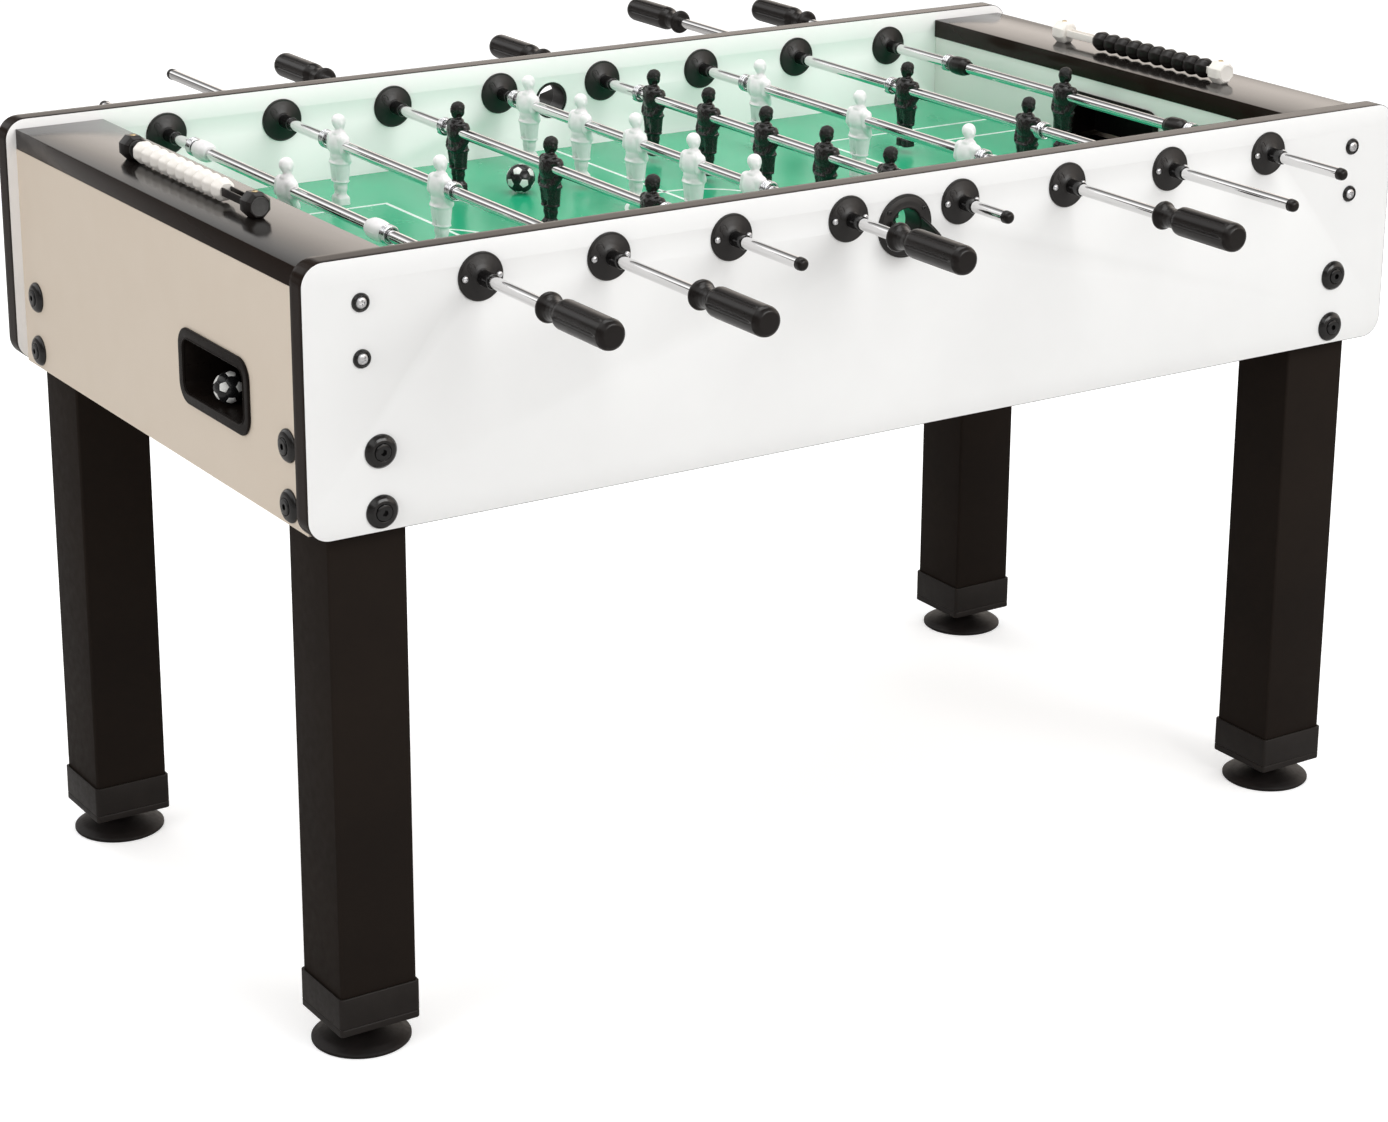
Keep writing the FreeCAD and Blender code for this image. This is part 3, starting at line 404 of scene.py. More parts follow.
def lathe(profile, steps=48, closed=True, shape=None, finish=0, move=None, bulge=None):
    """A body turned about z from (radius, height) points. bulge(angle, radius, height) may
    change the radius."""
    shape = shape or Shape()
    points, faces, rows = [], [], []
    for r, h in profile:
        if r < TINY:
            rows.append([len(points)])
            points.append((0, 0, h))
            continue
        rows.append(range(len(points), len(points) + steps))
        for i in range(steps):
            a = math.tau * i / steps
            points.append((*around(bulge(a, r, h) if bulge else r, a), h))
    pairs = list(zip(rows, rows[1:]))
    if closed and len(rows[0]) > 1 and len(rows[-1]) > 1:
        pairs.append((rows[-1], rows[0]))
    for a, b in pairs:
        for i in range(steps):
            j = (i + 1) % steps
            if len(a) == 1 and len(b) == 1:
                continue
            if len(a) == 1:
                faces.append((a[0], b[j], b[i]))
            elif len(b) == 1:
                faces.append((a[i], a[j], b[0]))
            else:
                faces.append((a[i], a[j], b[j], b[i]))
    return shape.add(points, faces, finish, move)


def turned(name, finish, points, steps=48):
    """A mesh turned about z from a run with rounded corners."""
    return lathe(curved(points, 5), steps).mesh(name, finish)


def wire(path, radius, steps=8, closed=False, shape=None):
    """A round wire along a path of points."""
    shape = shape or Shape()
    path = [Vector(p) for p in path]
    count = len(path)
    side = None
    points = []
    for i, here in enumerate(path):
        before, after = beside(path, i, closed)
        way = (after - before).normalized()
        if side is None:
            side = way.orthogonal().normalized()
        side = (side - way * side.dot(way)).normalized()
        other = way.cross(side)
        for k in range(steps):
            a = math.tau * k / steps
            points.append(here + (side * math.cos(a) + other * math.sin(a)) * radius)
    faces = skin(count, steps, closed)
    if not closed:
        faces.append(tuple(range(steps))[::-1])
        faces.append(tuple((count - 1) * steps + k for k in range(steps)))
    return shape.add(points, faces)


def ball(centre, radii, shape, steps=24, rows=14):
    """An egg of three radii."""
    profile = [(math.sin(math.pi * i / rows), -math.cos(math.pi * i / rows))
               for i in range(rows + 1)]
    profile[0], profile[-1] = (0, -1), (0, 1)
    move = Matrix.Translation(Vector(centre)) @ Matrix.Diagonal(Vector((*radii, 1)))
    lathe(profile, steps, shape=shape, move=move)


def limb(a, b, ra, rb, shape):
    """A tapered limb with round ends between two points."""
    a, b = Vector(a), Vector(b)
    long = (b - a).length
    profile = [(0, -ra)]
    profile += [(ra * math.sin(t), -ra * math.cos(t)) for t in (0.4, 0.8, 1.2, 1.57)]
    profile += [(rb * math.cos(t), long + rb * math.sin(t)) for t in (0.0, 0.4, 0.8, 1.2)]
    profile += [(0, long + rb)]
    turn = (b - a).to_track_quat("Z", "Y").to_matrix().to_4x4()
    lathe(profile, 20, shape=shape, move=Matrix.Translation(a) @ turn)


def applied(mesh, *modifiers):
    """The mesh after these (type, settings) modifiers."""
    holder = bpy.data.objects.new("holder", mesh)
    bpy.context.scene.collection.objects.link(holder)
    for kind, settings in modifiers:
        modifier = holder.modifiers.new(kind.lower(), kind)
        for key, value in settings.items():
            setattr(modifier, key, value)
    depsgraph = bpy.context.evaluated_depsgraph_get()
    result = bpy.data.meshes.new_from_object(holder.evaluated_get(depsgraph))
    bpy.data.objects.remove(holder)
    return result


def carved(mesh, cutter):
    """The mesh with the cutter's shape taken out of it."""
    tool = bpy.data.objects.new("cutter", cutter)
    bpy.context.scene.collection.objects.link(tool)
    result = applied(mesh, ("BOOLEAN", {"operation": "DIFFERENCE", "solver": "EXACT",
                                        "object": tool}))
    bpy.data.objects.remove(tool)
    return smooth(result)


# --- side panels ---
BAND = 0.6              # thickness of the edge band
PANEL_CORNER = 24.0
ROD_HOLE = 12.4
ENTRY_HOLE = 22.6
panel_low, panel_high = front.low.z, front.high.z
panel_long = front.size.x
panel_thick = front.size.y
entry_z = Place("ball_entry_cups").middle.z


def panel_outline(shrink):
    return oblong(panel_long - 2 * shrink, panel_high - panel_low - 2 * shrink,
                  PANEL_CORNER - shrink, y=(panel_low + panel_high) / 2, steps=12)


def side_panel():
    """The board, its outer face at z = 0 and its inner face in the second finish, the same
    laminate painted lighter as painted light.
    """
    holes = [ring(ROD_HOLE, 32, x, ROD_Z, hole=True) for x in ROD_X]
    holes.append(ring(ENTRY_HOLE, 48, 0, entry_z, hole=True))
    return plate([panel_outline(BAND)] + holes, -panel_thick, 0, 0.15, low_finish=1)


def edge_strip():
    """The plastic band round a panel's edge, its edges rounded off on both sides."""
    half = panel_thick / 2
    section = [(half, -BAND), (half, -0.4), (half - 0.15, -0.12), (half - 0.5, -0.03),
               (half * 0.5, 0), (0, 0), (-half * 0.5, 0), (-half + 0.5, -0.03),
               (-half + 0.15, -0.12), (-half, -0.4), (-half, -BAND)]
    points = [(x, y, across - half) for across, out in section
              for x, y in panel_outline(-out)]
    return Shape().add(points, skin(len(section), len(panel_outline(0))))


panel_mesh = side_panel().mesh("panel_board", "white_laminate", "inner_laminate_painted_light")
strip_mesh = edge_strip().mesh("panel_edge", "edge_band", sharp=60)
for label, way, turn in FRONT_BACK:
    where = facing(0, way * HALF_WIDE, 0, turn)
    piece(label + "_panel_board", panel_mesh, "white_laminate", where, label + "_panel")
    piece(label + "_panel_edge", strip_mesh, "black_rail", where, label + "_panel")

# --- end rails, in another finish round their edges ---
RAIL_WIDTH = 105.0
inner_wide = rails.size.y
rail_mesh = plate([oblong(RAIL_WIDTH, inner_wide - 0.4, 0.8, steps=2)], 0, rails.size.z, 0.7,
                  steps=3, side_finish=1).mesh("rail_board", "black_rail", "edge_band")
for label, x in (("left", rails.low.x + RAIL_WIDTH / 2), ("right", rails.high.x - RAIL_WIDTH / 2)):
    piece(label + "_rail", rail_mesh, "black_rail", spot(x, 0, rails.low.z), "end_top_rails")

# --- finishes of the CAD nodes that stay as they are ---
# the end panels take the laminate that is painted darker, as painted shade
kept = {"end_panels": "end_laminate", "goal_walls": "pale_wall", "playfield": "green_field",
        "field_battens": "raw_board", "cabinet_floor": "raw_board"}
kept.update(("rod_%d_tube" % number, "chrome") for number in range(1, 9))
for node, finish in kept.items():
    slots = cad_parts[node].data.materials
    slots.clear()
    slots.append(PAINT[finish])

# --- lines of the playing field ---
LINE = 4.6
PAINT_TOP, PAINT_LOW = 0.18, 0.02
BOX_X, BOX_Y = 305.0, 213.0         # the penalty box's inner corner
AREA_X, AREA_Y = 450.0, 142.0       # the goal area's inner corner
ARC_X, ARC_RADIUS = 367.0, 95.0
SPOT_X, SPOT_RADIUS = 380.0, 3.2
CENTRE_CIRCLE, CENTRE_SPOT = 94, 7.5
field_half_x = field.size.x / 2
field_half_y = field.size.y / 2
lines = Shape()


def painted(points, width=LINE, closed=False):
    """A painted line along a run of (x, y) points."""
    points = [Vector(p) for p in points]
    count = len(points)
    rows = []
    for i, here in enumerate(points):
        before, after = beside(points, i, closed)
        first = (here - before).normalized() if (here - before).length > TINY else None
        second = (after - here).normalized() if (after - here).length > TINY else None
        first, second = first or second, second or first
        n1, n2 = Vector((-first.y, first.x)), Vector((-second.y, second.x))
        n = (n1 + n2).normalized()
        n = n * (width / 2) / max(n.dot(n1), 0.5)
        rows.append((here + n, here - n))
    top, low = ([(p.x, p.y, z) for row in rows for p in row] for z in (PAINT_TOP, PAINT_LOW))
    faces = []
    total = len(top)
    for i in range(count if closed else count - 1):
        a, b = 2 * i, 2 * ((i + 1) % count)
        faces += [(a, b, b + 1, a + 1), (a, a + total, b + total, b),
                  (a + 1, b + 1, b + 1 + total, a + 1 + total)]
    if not closed:
        faces += [(0, 1, 1 + total, total), (total - 2, total - 1, 2 * total - 1, 2 * total - 2)]
    lines.add(top + low, faces)


def arc(x, y, radius, start, end, steps=40):
    return [(x + radius * math.cos(math.radians(start + (end - start) * i / steps)),
             y + radius * math.sin(math.radians(start + (end - start) * i / steps)))
            for i in range(steps + 1)]


painted([(0, -field_half_y + 1), (0, field_half_y - 1)])
painted(ring(CENTRE_CIRCLE, 96), closed=True)
painted(ring(CENTRE_SPOT, 32), width=2 * CENTRE_SPOT, closed=True)
for way in (-1, 1):
    goal_line = way * (field_half_x - 1)
    for x, y in ((BOX_X, BOX_Y), (AREA_X, AREA_Y)):
        painted([(goal_line, -y), (way * x, -y), (way * x, y), (goal_line, y)])
    swing = math.degrees(math.acos((ARC_X - BOX_X) / ARC_RADIUS))
    middle = 180 if way > 0 else 0
    painted(arc(way * ARC_X, 0, ARC_RADIUS, middle - swing, middle + swing))
    painted(ring(SPOT_RADIUS, 24, x=way * SPOT_X), width=2 * SPOT_RADIUS, closed=True)
piece("field_lines", lines.mesh("field_lines", "field_paint", sharp=20), "green_field",
      spot(0, 0, field.high.z))

# --- goals ---
GOAL_RIM = 8
GOAL_OUT = 3.0
goals = Place("goal_frames")
goal_half, goal_high = goals.size.y / 2, goals.size.z
goal_deep = goals.high.x - field_half_x


def goal_ring(inset, corner, steps):
    """The goal's arch, from inset inside its outline to its mouth."""
    w, mouth, top = goal_half, goal_half - GOAL_RIM, goal_high - GOAL_RIM
    return curved([(-w + inset, 0), (-mouth, 0), (-mouth, top, 9), (mouth, top, 9), (mouth, 0),
                   (w - inset, 0), (w - inset, goal_high - inset, corner),
                   (-w + inset, goal_high - inset, corner)], steps, closed=True)


goal = plate([goal_ring(0, 22, 10)], 0, GOAL_OUT, 1.1, steps=3)
plate([goal_ring(5, 9, 8)], -goal_deep, 0.4, 0.3, shape=goal)
# the tunnel's back, in the second finish: a darker black, painted shade
plate([oblong(2 * goal_half - 10, goal_high - 5, 2, y=(goal_high - 5) / 2)], -goal_deep,
      -goal_deep + 3, 0.3, shape=goal, finish=1)
# the ball's chute falls away behind the mouth; like the tunnel's back it takes the second finish,
# a darker black of painted shade
chute = [(-goal_half + GOAL_RIM, -9), (goal_half - GOAL_RIM, -9),
         (goal_half - GOAL_RIM, -6.5), (-goal_half + GOAL_RIM, -6.5)]
plate([chute], -goal_deep + 2, -4, 0.2, shape=goal, finish=1)
goal_mesh = goal.mesh("goal", "tray_black", "painted_shade_black")
for label, way in LEFT_RIGHT:
    piece(label + "_goal", goal_mesh, "black_plastic",
          facing(way * field_half_x, 0, field.high.z, -90 * way), "goal_frames")

# --- ball trays ---
TRAY_WIDE, TRAY_HIGH, TRAY_DEEP = 165.0, 82.0, 72
TRAY_RIM = 24                       # twice the bezel's width
# the round mouth of the channel that feeds the tray: its middle, inside and outside
FEED_X, FEED_Y, FEED_IN, FEED_OUT = -40, 2, 20.5, 24
trays = Place("ball_trays")
tray_y = MIDDLE_Y - (trays.low.y + TRAY_WIDE / 2)


def tray_ring(inset, corner, steps, hole=False):
    return oblong(TRAY_WIDE - inset, TRAY_HIGH - inset, corner, steps=steps, hole=hole)


tray_mouth = tray_ring(TRAY_RIM, 12, 10, hole=True)
tray = plate([tray_ring(0, 22, 12), tray_mouth], 0, 3.0, 1.4, steps=4)
# a soft lip runs round the mouth and the bezel's outside
wire([(x, y, 2.6) for x, y in tray_ring(21.4, 13, 10)], 1.1, closed=True, shape=tray)
wire([(x, y, 1.7) for x, y in tray_ring(4.0, 20, 12)], 1.4, closed=True, shape=tray)
plate([tray_ring(18, 13, 10), tray_mouth], -TRAY_DEEP, 0.5, 0.3, shape=tray)
plate([tray_ring(20, 12, 6)], -TRAY_DEEP, -TRAY_DEEP + 3, 0.3, shape=tray)
plate([ring(FEED_OUT, 40, FEED_X, FEED_Y), ring(FEED_IN, 40, FEED_X, FEED_Y, hole=True)],
      -69.2, -64, 0.8, steps=3, shape=tray)
# a darker disc closes the channel's mouth: painted shade where the channel runs on into the dark
plate([ring(FEED_IN, 40, FEED_X, FEED_Y)], -69.4, -68.6, 0.1, shape=tray, finish=1)
tray_mesh = tray.mesh("tray", "tray_black", "painted_shade_black")
for label, way in LEFT_RIGHT:
    piece(label + "_tray", tray_mesh, "black_plastic",
          facing(way * end_outside, way * tray_y, trays.middle.z, 90 * way), "ball_trays")


# --- screws ---
def pan_head(radius, height, cross):
    """A screw's head with a cross cut into it."""
    head = lathe(curved([
        (0, -0.5), (radius, -0.5), (radius, height * 0.42, height * 0.3),
        (radius * 0.72, height * 0.86, radius * 0.6), (0, height)], 5), 40)
    head = head.mesh("pan_head", "screw_steel")
    narrow = cross * 0.26
    for wide, tall in ((cross, narrow), (narrow, cross)):
        slot = plate([oblong(wide, tall, cross * 0.05, steps=2)], height * 0.45, height + 1,
                     0.01, 1)
        head = carved(head, slot.mesh("slot_tool", "screw_steel"))
    return head


small_screw = pan_head(3.3, 2.2, 3.6)
big_screw = pan_head(6.0, 3.2, 6.4)
dark_screw = refinished(small_screw, "entry_screw_dark", "bush_black")
brass_screw = refinished(small_screw, "brass_screw", "brass")

# --- rod bearings ---
BUSH = 7.9
FLANGE_STEM = 12.0
SCREW_OUT, SCREW_HEIGHT = 19, 4.1
# a flange from its edge to the bush: radius, height and how much each corner is rounded
DOME = [(25.0, 0.0), (25.0, 1.5, 0.6), (24.2, 2.4, 0.7), (22.8, 2.2, 0.8), (18.0, 3.3, 9),
        (13.0, 4.6, 7), (9.6, 5.8, 2), (8.3, 6.6, 1)]
# the same, as the surface that raised lines lie on
DOME_TOP = [(25, 2.2), (22.8, 2.3), (18.0, 3.3), (13.0, 4.6), (9.6, 5.8), (8.3, 6.6)]
# the little latch beside the bush
LATCH = [(-7.6, 9.2), (-8.9, 13.6), (-11.4, 15.4), (-14.2, 14.4), (-15.6, 11.4),
         (-14.9, 8.2), (-12.6, 6.2), (-12.2, 3.2), (-10.6, 1.4)]


def dome_height(x, y):
    r = math.hypot(x, y)
    for (r1, h1), (r2, h2) in zip(DOME_TOP, DOME_TOP[1:]):
        if r >= r2:
            return h1 + (h2 - h1) * (r1 - r) / (r1 - r2)
    return DOME_TOP[-1][1]


def raised(points, lift, radius, shape, closed=False):
    """A raised line along a run of points on a flange."""
    wire([(x, y, dome_height(x, y) + lift) for x, y in points], radius, 6, closed, shape)


def bearing(length, outside):
    """One half of a bearing with a bush of this length, which takes the second finish."""
    stem = 0.5 - panel_thick
    profile = [(6.6, stem if outside else 0.2)]
    if outside:
        profile += [(FLANGE_STEM, stem), (FLANGE_STEM, 0.0)]
    profile += DOME
    profile += [(BUSH + 0.05, 8.0, 0.5), (BUSH, length - 1.2, 0.6),
                (BUSH - 0.5, length, 0.4), (6.75, length, 0.2), (6.62, length - 2)]
    shape = lathe(curved(profile, 4), 72)
    raised(curved([(x, y, 3) for x, y in LATCH], 4), 0.05, 0.42, shape)
    inside = [(x * 0.35 - 8.4, y * 0.35 + 7.0, 1) for x, y in LATCH]
    raised(curved(inside, 3), 0.02, 0.3, shape)
    if outside:
        for x in (-SCREW_OUT, SCREW_OUT):
            raised(ring(3.9, 28, x, 0), 0.05, 0.35, shape, closed=True)
    for i, face in enumerate(shape.faces):
        corners = [shape.points[v] for v in face]
        if all(math.hypot(p.x, p.y) < BUSH + 0.7 and p.z > 7.2 for p in corners):
            shape.finish[i] = 1
    return shape


outer_bearing = bearing(27, True).mesh("bearing_outer", "satin_black", "bush_black")
inner_bearing = bearing(28, False).mesh("bearing_inner", "satin_black", "bush_black")
for number, x in enumerate(ROD_X, start=1):
    for label, way, turn in FRONT_BACK:
        tag = "_%d_%s_" % (number, label)
        piece("bearing" + tag + "outer", outer_bearing, "black_plastic",
              facing(x, way * HALF_WIDE, ROD_Z, turn), "rod_bearings")
        piece("bearing" + tag + "inner", inner_bearing, "black_plastic",
              facing(x, way * inner_wide / 2, ROD_Z, turn + 180), "rod_bearings")
        for side, letter in ((-1, "a"), (1, "b")):
            piece("bearing_screw" + tag + letter, small_screw, "chrome",
                  facing(x + side * SCREW_OUT, way * (HALF_WIDE + SCREW_HEIGHT), ROD_Z, turn)
                  @ about("Z", 37 * number + 20 * side), "bearing_screws")

# --- ball entries ---
ENTRY_SCREWS = (38, 142, 218, 322)      # degrees; the two upper ones are dark
ENTRY_SCREW_OUT, ENTRY_SCREW_HEIGHT, ENTRY_SCREW_SCALE = 28.2, 3.6, 0.8
SCOOP_IN, SCOOP_OUT = 19.6, 21.8
SCOOP_START, SCOOP_LONG = 4.0, 32.0
SCOOP_EDGE, SCOOP_FALL = 7.7, 13.2      # the free edge's height, and its fall along the scoop
SCOOP_ROWS, SCOOP_COLUMNS = 14, 40
entry = lathe(curved([
    (19.0, -panel_thick), (22.0, -panel_thick), (22.0, 0), (34.5, 0), (34.5, 1.9, 0.5),
    (33.6, 2.7, 0.5), (32.4, 2.6, 0.4), (31.6, 3.4, 0.5), (27, 4.3, 6), (22.6, 4.6, 1.0),
    (21.0, 4.9, 0.6), (19.6, 4.5, 0.6), (19.0, 2.0, 0.6)], 4), 80)
# the scoop: the lower part of a tube, its rim falling as it comes out
points, faces = [], []
for wall in (SCOOP_IN, SCOOP_OUT):
    for j in range(SCOOP_ROWS + 1):
        t = j / SCOOP_ROWS
        limit = math.asin((SCOOP_EDGE - SCOOP_FALL * t) / SCOOP_OUT)
        for i in range(SCOOP_COLUMNS + 1):
            a = -math.pi - limit + (math.pi + 2 * limit) * i / SCOOP_COLUMNS
            points.append((*around(wall, a), SCOOP_START + t * SCOOP_LONG))
row = SCOOP_COLUMNS + 1
layer = (SCOOP_ROWS + 1) * row
for j in range(SCOOP_ROWS):
    for i in range(SCOOP_COLUMNS):
        a = j * row + i
        faces += [(a, a + 1, a + row + 1, a + row),
                  (layer + a, layer + a + row, layer + a + row + 1, layer + a + 1)]
    a, b = j * row, j * row + SCOOP_COLUMNS
    faces += [(a, a + row, layer + a + row, layer + a),
              (b, layer + b, layer + b + row, b + row)]
a = SCOOP_ROWS * row
faces += [(a + i, a + i + 1, layer + a + i + 1, layer + a + i) for i in range(SCOOP_COLUMNS)]
entry.add(points, faces)
# a rib follows the scoop's free edge
edge = [points[layer + j * row] for j in range(SCOOP_ROWS + 1)]
edge += [points[layer + SCOOP_ROWS * row + i] for i in range(SCOOP_COLUMNS + 1)]
edge += [points[layer + j * row + SCOOP_COLUMNS] for j in range(SCOOP_ROWS, -1, -1)]
wire(edge, 1.0, 8, shape=entry)
screw_places = [around(ENTRY_SCREW_OUT, math.radians(angle)) for angle in ENTRY_SCREWS]
for x, y in screw_places:
    wire([(px, py, 4.1) for px, py in ring(2.7, 24, x, y)], 0.45, 6, closed=True, shape=entry)
entry_mesh = entry.mesh("ball_entry", "satin_black")
for label, way, turn in FRONT_BACK:
    where = facing(0, way * HALF_WIDE, entry_z, turn)
    piece(label + "_ball_entry", entry_mesh, "black_plastic", where, "ball_entry_cups")
    for i, (x, y) in enumerate(screw_places):
        screw, slot = (dark_screw, "black_plastic") if i < 2 else (small_screw, "chrome")
        piece("%s_entry_screw_%d" % (label, i + 1), screw, slot,
              where @ Matrix.Translation(Vector((x, y, ENTRY_SCREW_HEIGHT)) * MM)
              @ Matrix.Rotation(0.6 * i, 4, "Z") @ Matrix.Scale(ENTRY_SCREW_SCALE, 4))

# --- springs, sleeves, handles, caps ---
SPRING_TURNS, SPRING_RISE, SPRING_RADIUS, SPRING_WIRE = 2.9, 10.2, 9.2, 1.45
SPRING_STEPS = 28
coil = []
for i in range(int(SPRING_TURNS * SPRING_STEPS) + 1):
    coil.append((*around(SPRING_RADIUS, math.tau * i / SPRING_STEPS),
                 1.4 + SPRING_RISE * i / (SPRING_TURNS * SPRING_STEPS)))
spring_mesh = wire(coil, SPRING_WIRE, 10).mesh("spring", "spring_chrome", sharp=60)

sleeve = lathe(curved([
    (6.5, -17), (8.4, -17, 0.4), (8.9, -16.2, 0.6), (9.6, -13.5, 2), (11.2, -9.5, 5),
    (11.6, -3, 8), (11.6, 3, 8), (11.2, 9.5, 5), (9.6, 13.5, 2), (8.9, 16.2, 0.6),
    (8.4, 17, 0.4), (6.5, 17)], 5), 48)
for x in (-11.35, 11.35):
    # the clamping seam along each side
    wire([(x, 0, z) for z in (-9, -5, 0, 5, 9)], 0.45, 6, shape=sleeve)

HANDLE = 120.0
GRIP = 15.5
FLUTES, FLUTE_HALF, FLUTE_DEPTH = 6, 2.0, 1.7
FLUTE_START, FLUTE_END = 33.0, 109.5
FLUTE_CIRCLE = 15.6     # the radius at which a flute's width is measured


def grip_radius(angle, radius, height):
    """Round-ended flutes sunk into the grip."""
    along = min((height - FLUTE_START) / 8.0, (FLUTE_END - height) / 6.0, 1.0)
    if along <= 0 or radius < 12:
        return radius
    share = math.sqrt(max(0.0, 1 - (1 - along) ** 2))
    off = (angle / math.tau * FLUTES) % 1.0
    off = min(off, 1 - off) * math.tau / FLUTES * FLUTE_CIRCLE
    half = FLUTE_HALF * share
    if half < 0.01 or off > half:
        return radius
    return radius - FLUTE_DEPTH * share * math.cos(off / half * math.pi / 2) ** 0.8


handle_profile = curved([
    (6.5, 0), (12.6, 0, 0.8), (14.2, 0.9, 1), (15.3, 2.6, 1.2), (15.4, 4.6, 1.2),
    (14.4, 6.6, 1), (13.4, 7.4, 1), (12.2, 9.4, 3), (10.9, 14, 5), (10.5, 20, 5),
    (11.0, 26, 4), (13.2, 29.6, 3), (15.2, 33.2, 3)], 5)
handle_profile += [(GRIP, 36 + 1.25 * i) for i in range(58)]
handle_profile += curved([
    (GRIP, 108.5), (GRIP, 112.5, 5), (14.4, 117.0, 5), (11.0, 119.7, 4), (0, HANDLE)], 7)
handle_mesh = lathe(handle_profile, 176, bulge=grip_radius).mesh("handle", "grip_black",
                                                                 sharp=50)

cap_mesh = turned("end_cap", "grip_black", [
    (6.5, -10), (6.9, -10, 0.2), (7.0, -8.6, 0.4), (6.8, -8.0, 0.3), (6.9, -6, 2),
    (6.3, -2.9, 3), (4.0, -0.8, 3), (0, -0.05)], 40)


# --- players ---
def figure_shape(dark):
    """A player about the rod's axis, shoulders along y and looking along x."""
    s = Shape()
    ball((0, 0, -1.0), (11.8, 16.5, 16.0), s)
    ball((0, 0, 5.0), (9.8, 17.5, 9.6), s)
    ball((0, 0, -13.0), (10.2, 14.6, 11.0), s)
    for y in (-1, 1):
        limb((-0.8, y * 13.6, 6.4), (-2.4, y * 16.9, -5.5), 6.9, 5.2, s)
        limb((-2.4, y * 16.9, -5.5), (3.6, y * 14.0, -16.5), 5.1, 4.1, s)
        ball((5.2, y * 12.6, -18.2), (3.6, 3.2, 3.8), s)
    # shirt hem and shorts
    for z, deep, wide in ((-21.0, 10.9, 15.3), (-42.6, 8.6, 12.8)):
        hem = [(deep * math.cos(t * math.tau / 40), wide * math.sin(t * math.tau / 40), z)
               for t in range(40)]
        wire(hem, 1.15, closed=True, shape=s)
    for y in (-1, 1):
        limb((0, y * 6.2, -20.0), (0, y * 5.9, -39.6), 9.3, 7.4, s)
        limb((0, y * 5.4, -38.0), (0, y * 4.7, -58.5), 6.2, 4.5, s)
        ball((0.0, y * 5.2, -50.0), (5.7, 5.6, 7.0), s)
    limb((0, 0, -20), (0, 0, -32), 9.6, 8.2, s)
    # boots, with a sole and a toe that the ball meets
    for y in (-1, 1):
        plate([oblong(15.0, 10.6, 3.2, y=y * 5.5, steps=5)], -70.5, -60.5, 1.6, 3, shape=s)
        plate([oblong(15.6, 11.0, 3.4, y=y * 5.5, steps=5)], -70.5, -68.2, 0.5, 2, shape=s)
        ball((0, y * 5.2, -60.5), (6.6, 5.0, 3.8), s)
    # neck and head
    limb((0, 0, 10.0), (0.3, 0, 19.0), 5.2, 4.3, s)
    ball((0, 0, 12.6), (7.4, 9.6, 4.2), s)
    ball((0.2, 0, 25.6), (7.9, 7.2, 9.2), s)
    ball((1.8, 0, 20.4), (5.4, 5.0, 4.8), s)
    ball((7.7, 0, 24.0), (1.4, 1.1, 2.2), s, 12, 8)
    for y in (-1, 1):
        ball((0.0, y * 7.2, 24.2), (2.0, 1.3, 3.0), s, 12, 8)
    if dark:
        ball((-1.3, 0, 28.0), (8.0, 7.9, 7.1), s)
        ball((-3.0, 0, 22.6), (5.6, 7.0, 6.4), s)
    else:
        ball((-0.8, 0, 27.0), (7.8, 7.5, 7.9), s)
    return s


def figure(name, dark):
    """A player's mesh: one smooth skin, then folds and hair on the dark men."""
    skin_finish, hair_finish, folds, rounds = (
        ("player_black", "hair_black", 0.55, 3) if dark
        else ("moulded_white", "moulded_white", 0.12, 6))
    mesh = figure_shape(dark).mesh(name, skin_finish, scale=1.0)
    mesh = applied(mesh, ("REMESH", {"mode": "VOXEL", "voxel_size": 0.85,
                                     "use_smooth_shade": True}),
                   ("SMOOTH", {"factor": 0.5, "iterations": rounds}))
    mesh.materials.clear()
    mesh.materials.append(PAINT[skin_finish])
    mesh.materials.append(PAINT[hair_finish])
    mesh.update()
    normals = [v.normal.copy() for v in mesh.vertices]
    for vertex, normal in zip(mesh.vertices, normals):
        p = vertex.co
        depth = 0.0
        if -42 < p.z < 12:
            depth = folds * noise.noise(Vector((p.x * 0.16, p.y * 0.22, p.z * 0.10 + 3)))
            depth += folds * 0.6 * noise.noise(Vector((p.x * 0.35, p.y * 0.4, p.z * 0.2)))
        elif p.z > 24 and dark:
            depth = 0.5 * noise.noise(Vector((p.x * 0.5, p.y * 0.9, p.z * 0.5)))
        # the shorts' centre crease
        if -40 < p.z < -22 and abs(p.y) < 1.4:
            depth -= 0.5 * (1 - abs(p.y) / 1.4)
        p += normal * depth
    hair = [1 if dark and f.center.z > 23.5 + max(0.0, f.center.x) * 0.75 else 0
            for f in mesh.polygons]
    mesh.polygons.foreach_set("material_index", hair)
    mesh.transform(Matrix.Scale(MM, 4))
    mesh.polygons.foreach_set("use_smooth", [True] * len(mesh.polygons))
    mesh.update()
    return mesh


# man, stop sleeve and slot of the light team, whose handles are in front, and of the dark one
TEAMS = {True: (figure("player_white", False), sleeve.mesh("sleeve_white", "moulded_white"),
                "white_plastic"),
         False: (figure("player_black", True), sleeve.mesh("sleeve_black", "grip_black"),
                 "black_plastic")}
KINDS = ("goalie", "two", "three", "five", "five", "three", "two", "goalie")
STANDS = {"goalie": (0,), "two": (-120, 120), "three": (-212, 0, 212),
          "five": (-244, -122, 0, 122, 244)}
SLEEVES = (-210, 210)
SPRING_REACH = 13.0
ALONG_BACK = about("X", -90)
ALONG_FRONT = about("X", 90)


def shift(y):
    return Matrix.Translation((0, y * MM, 0))


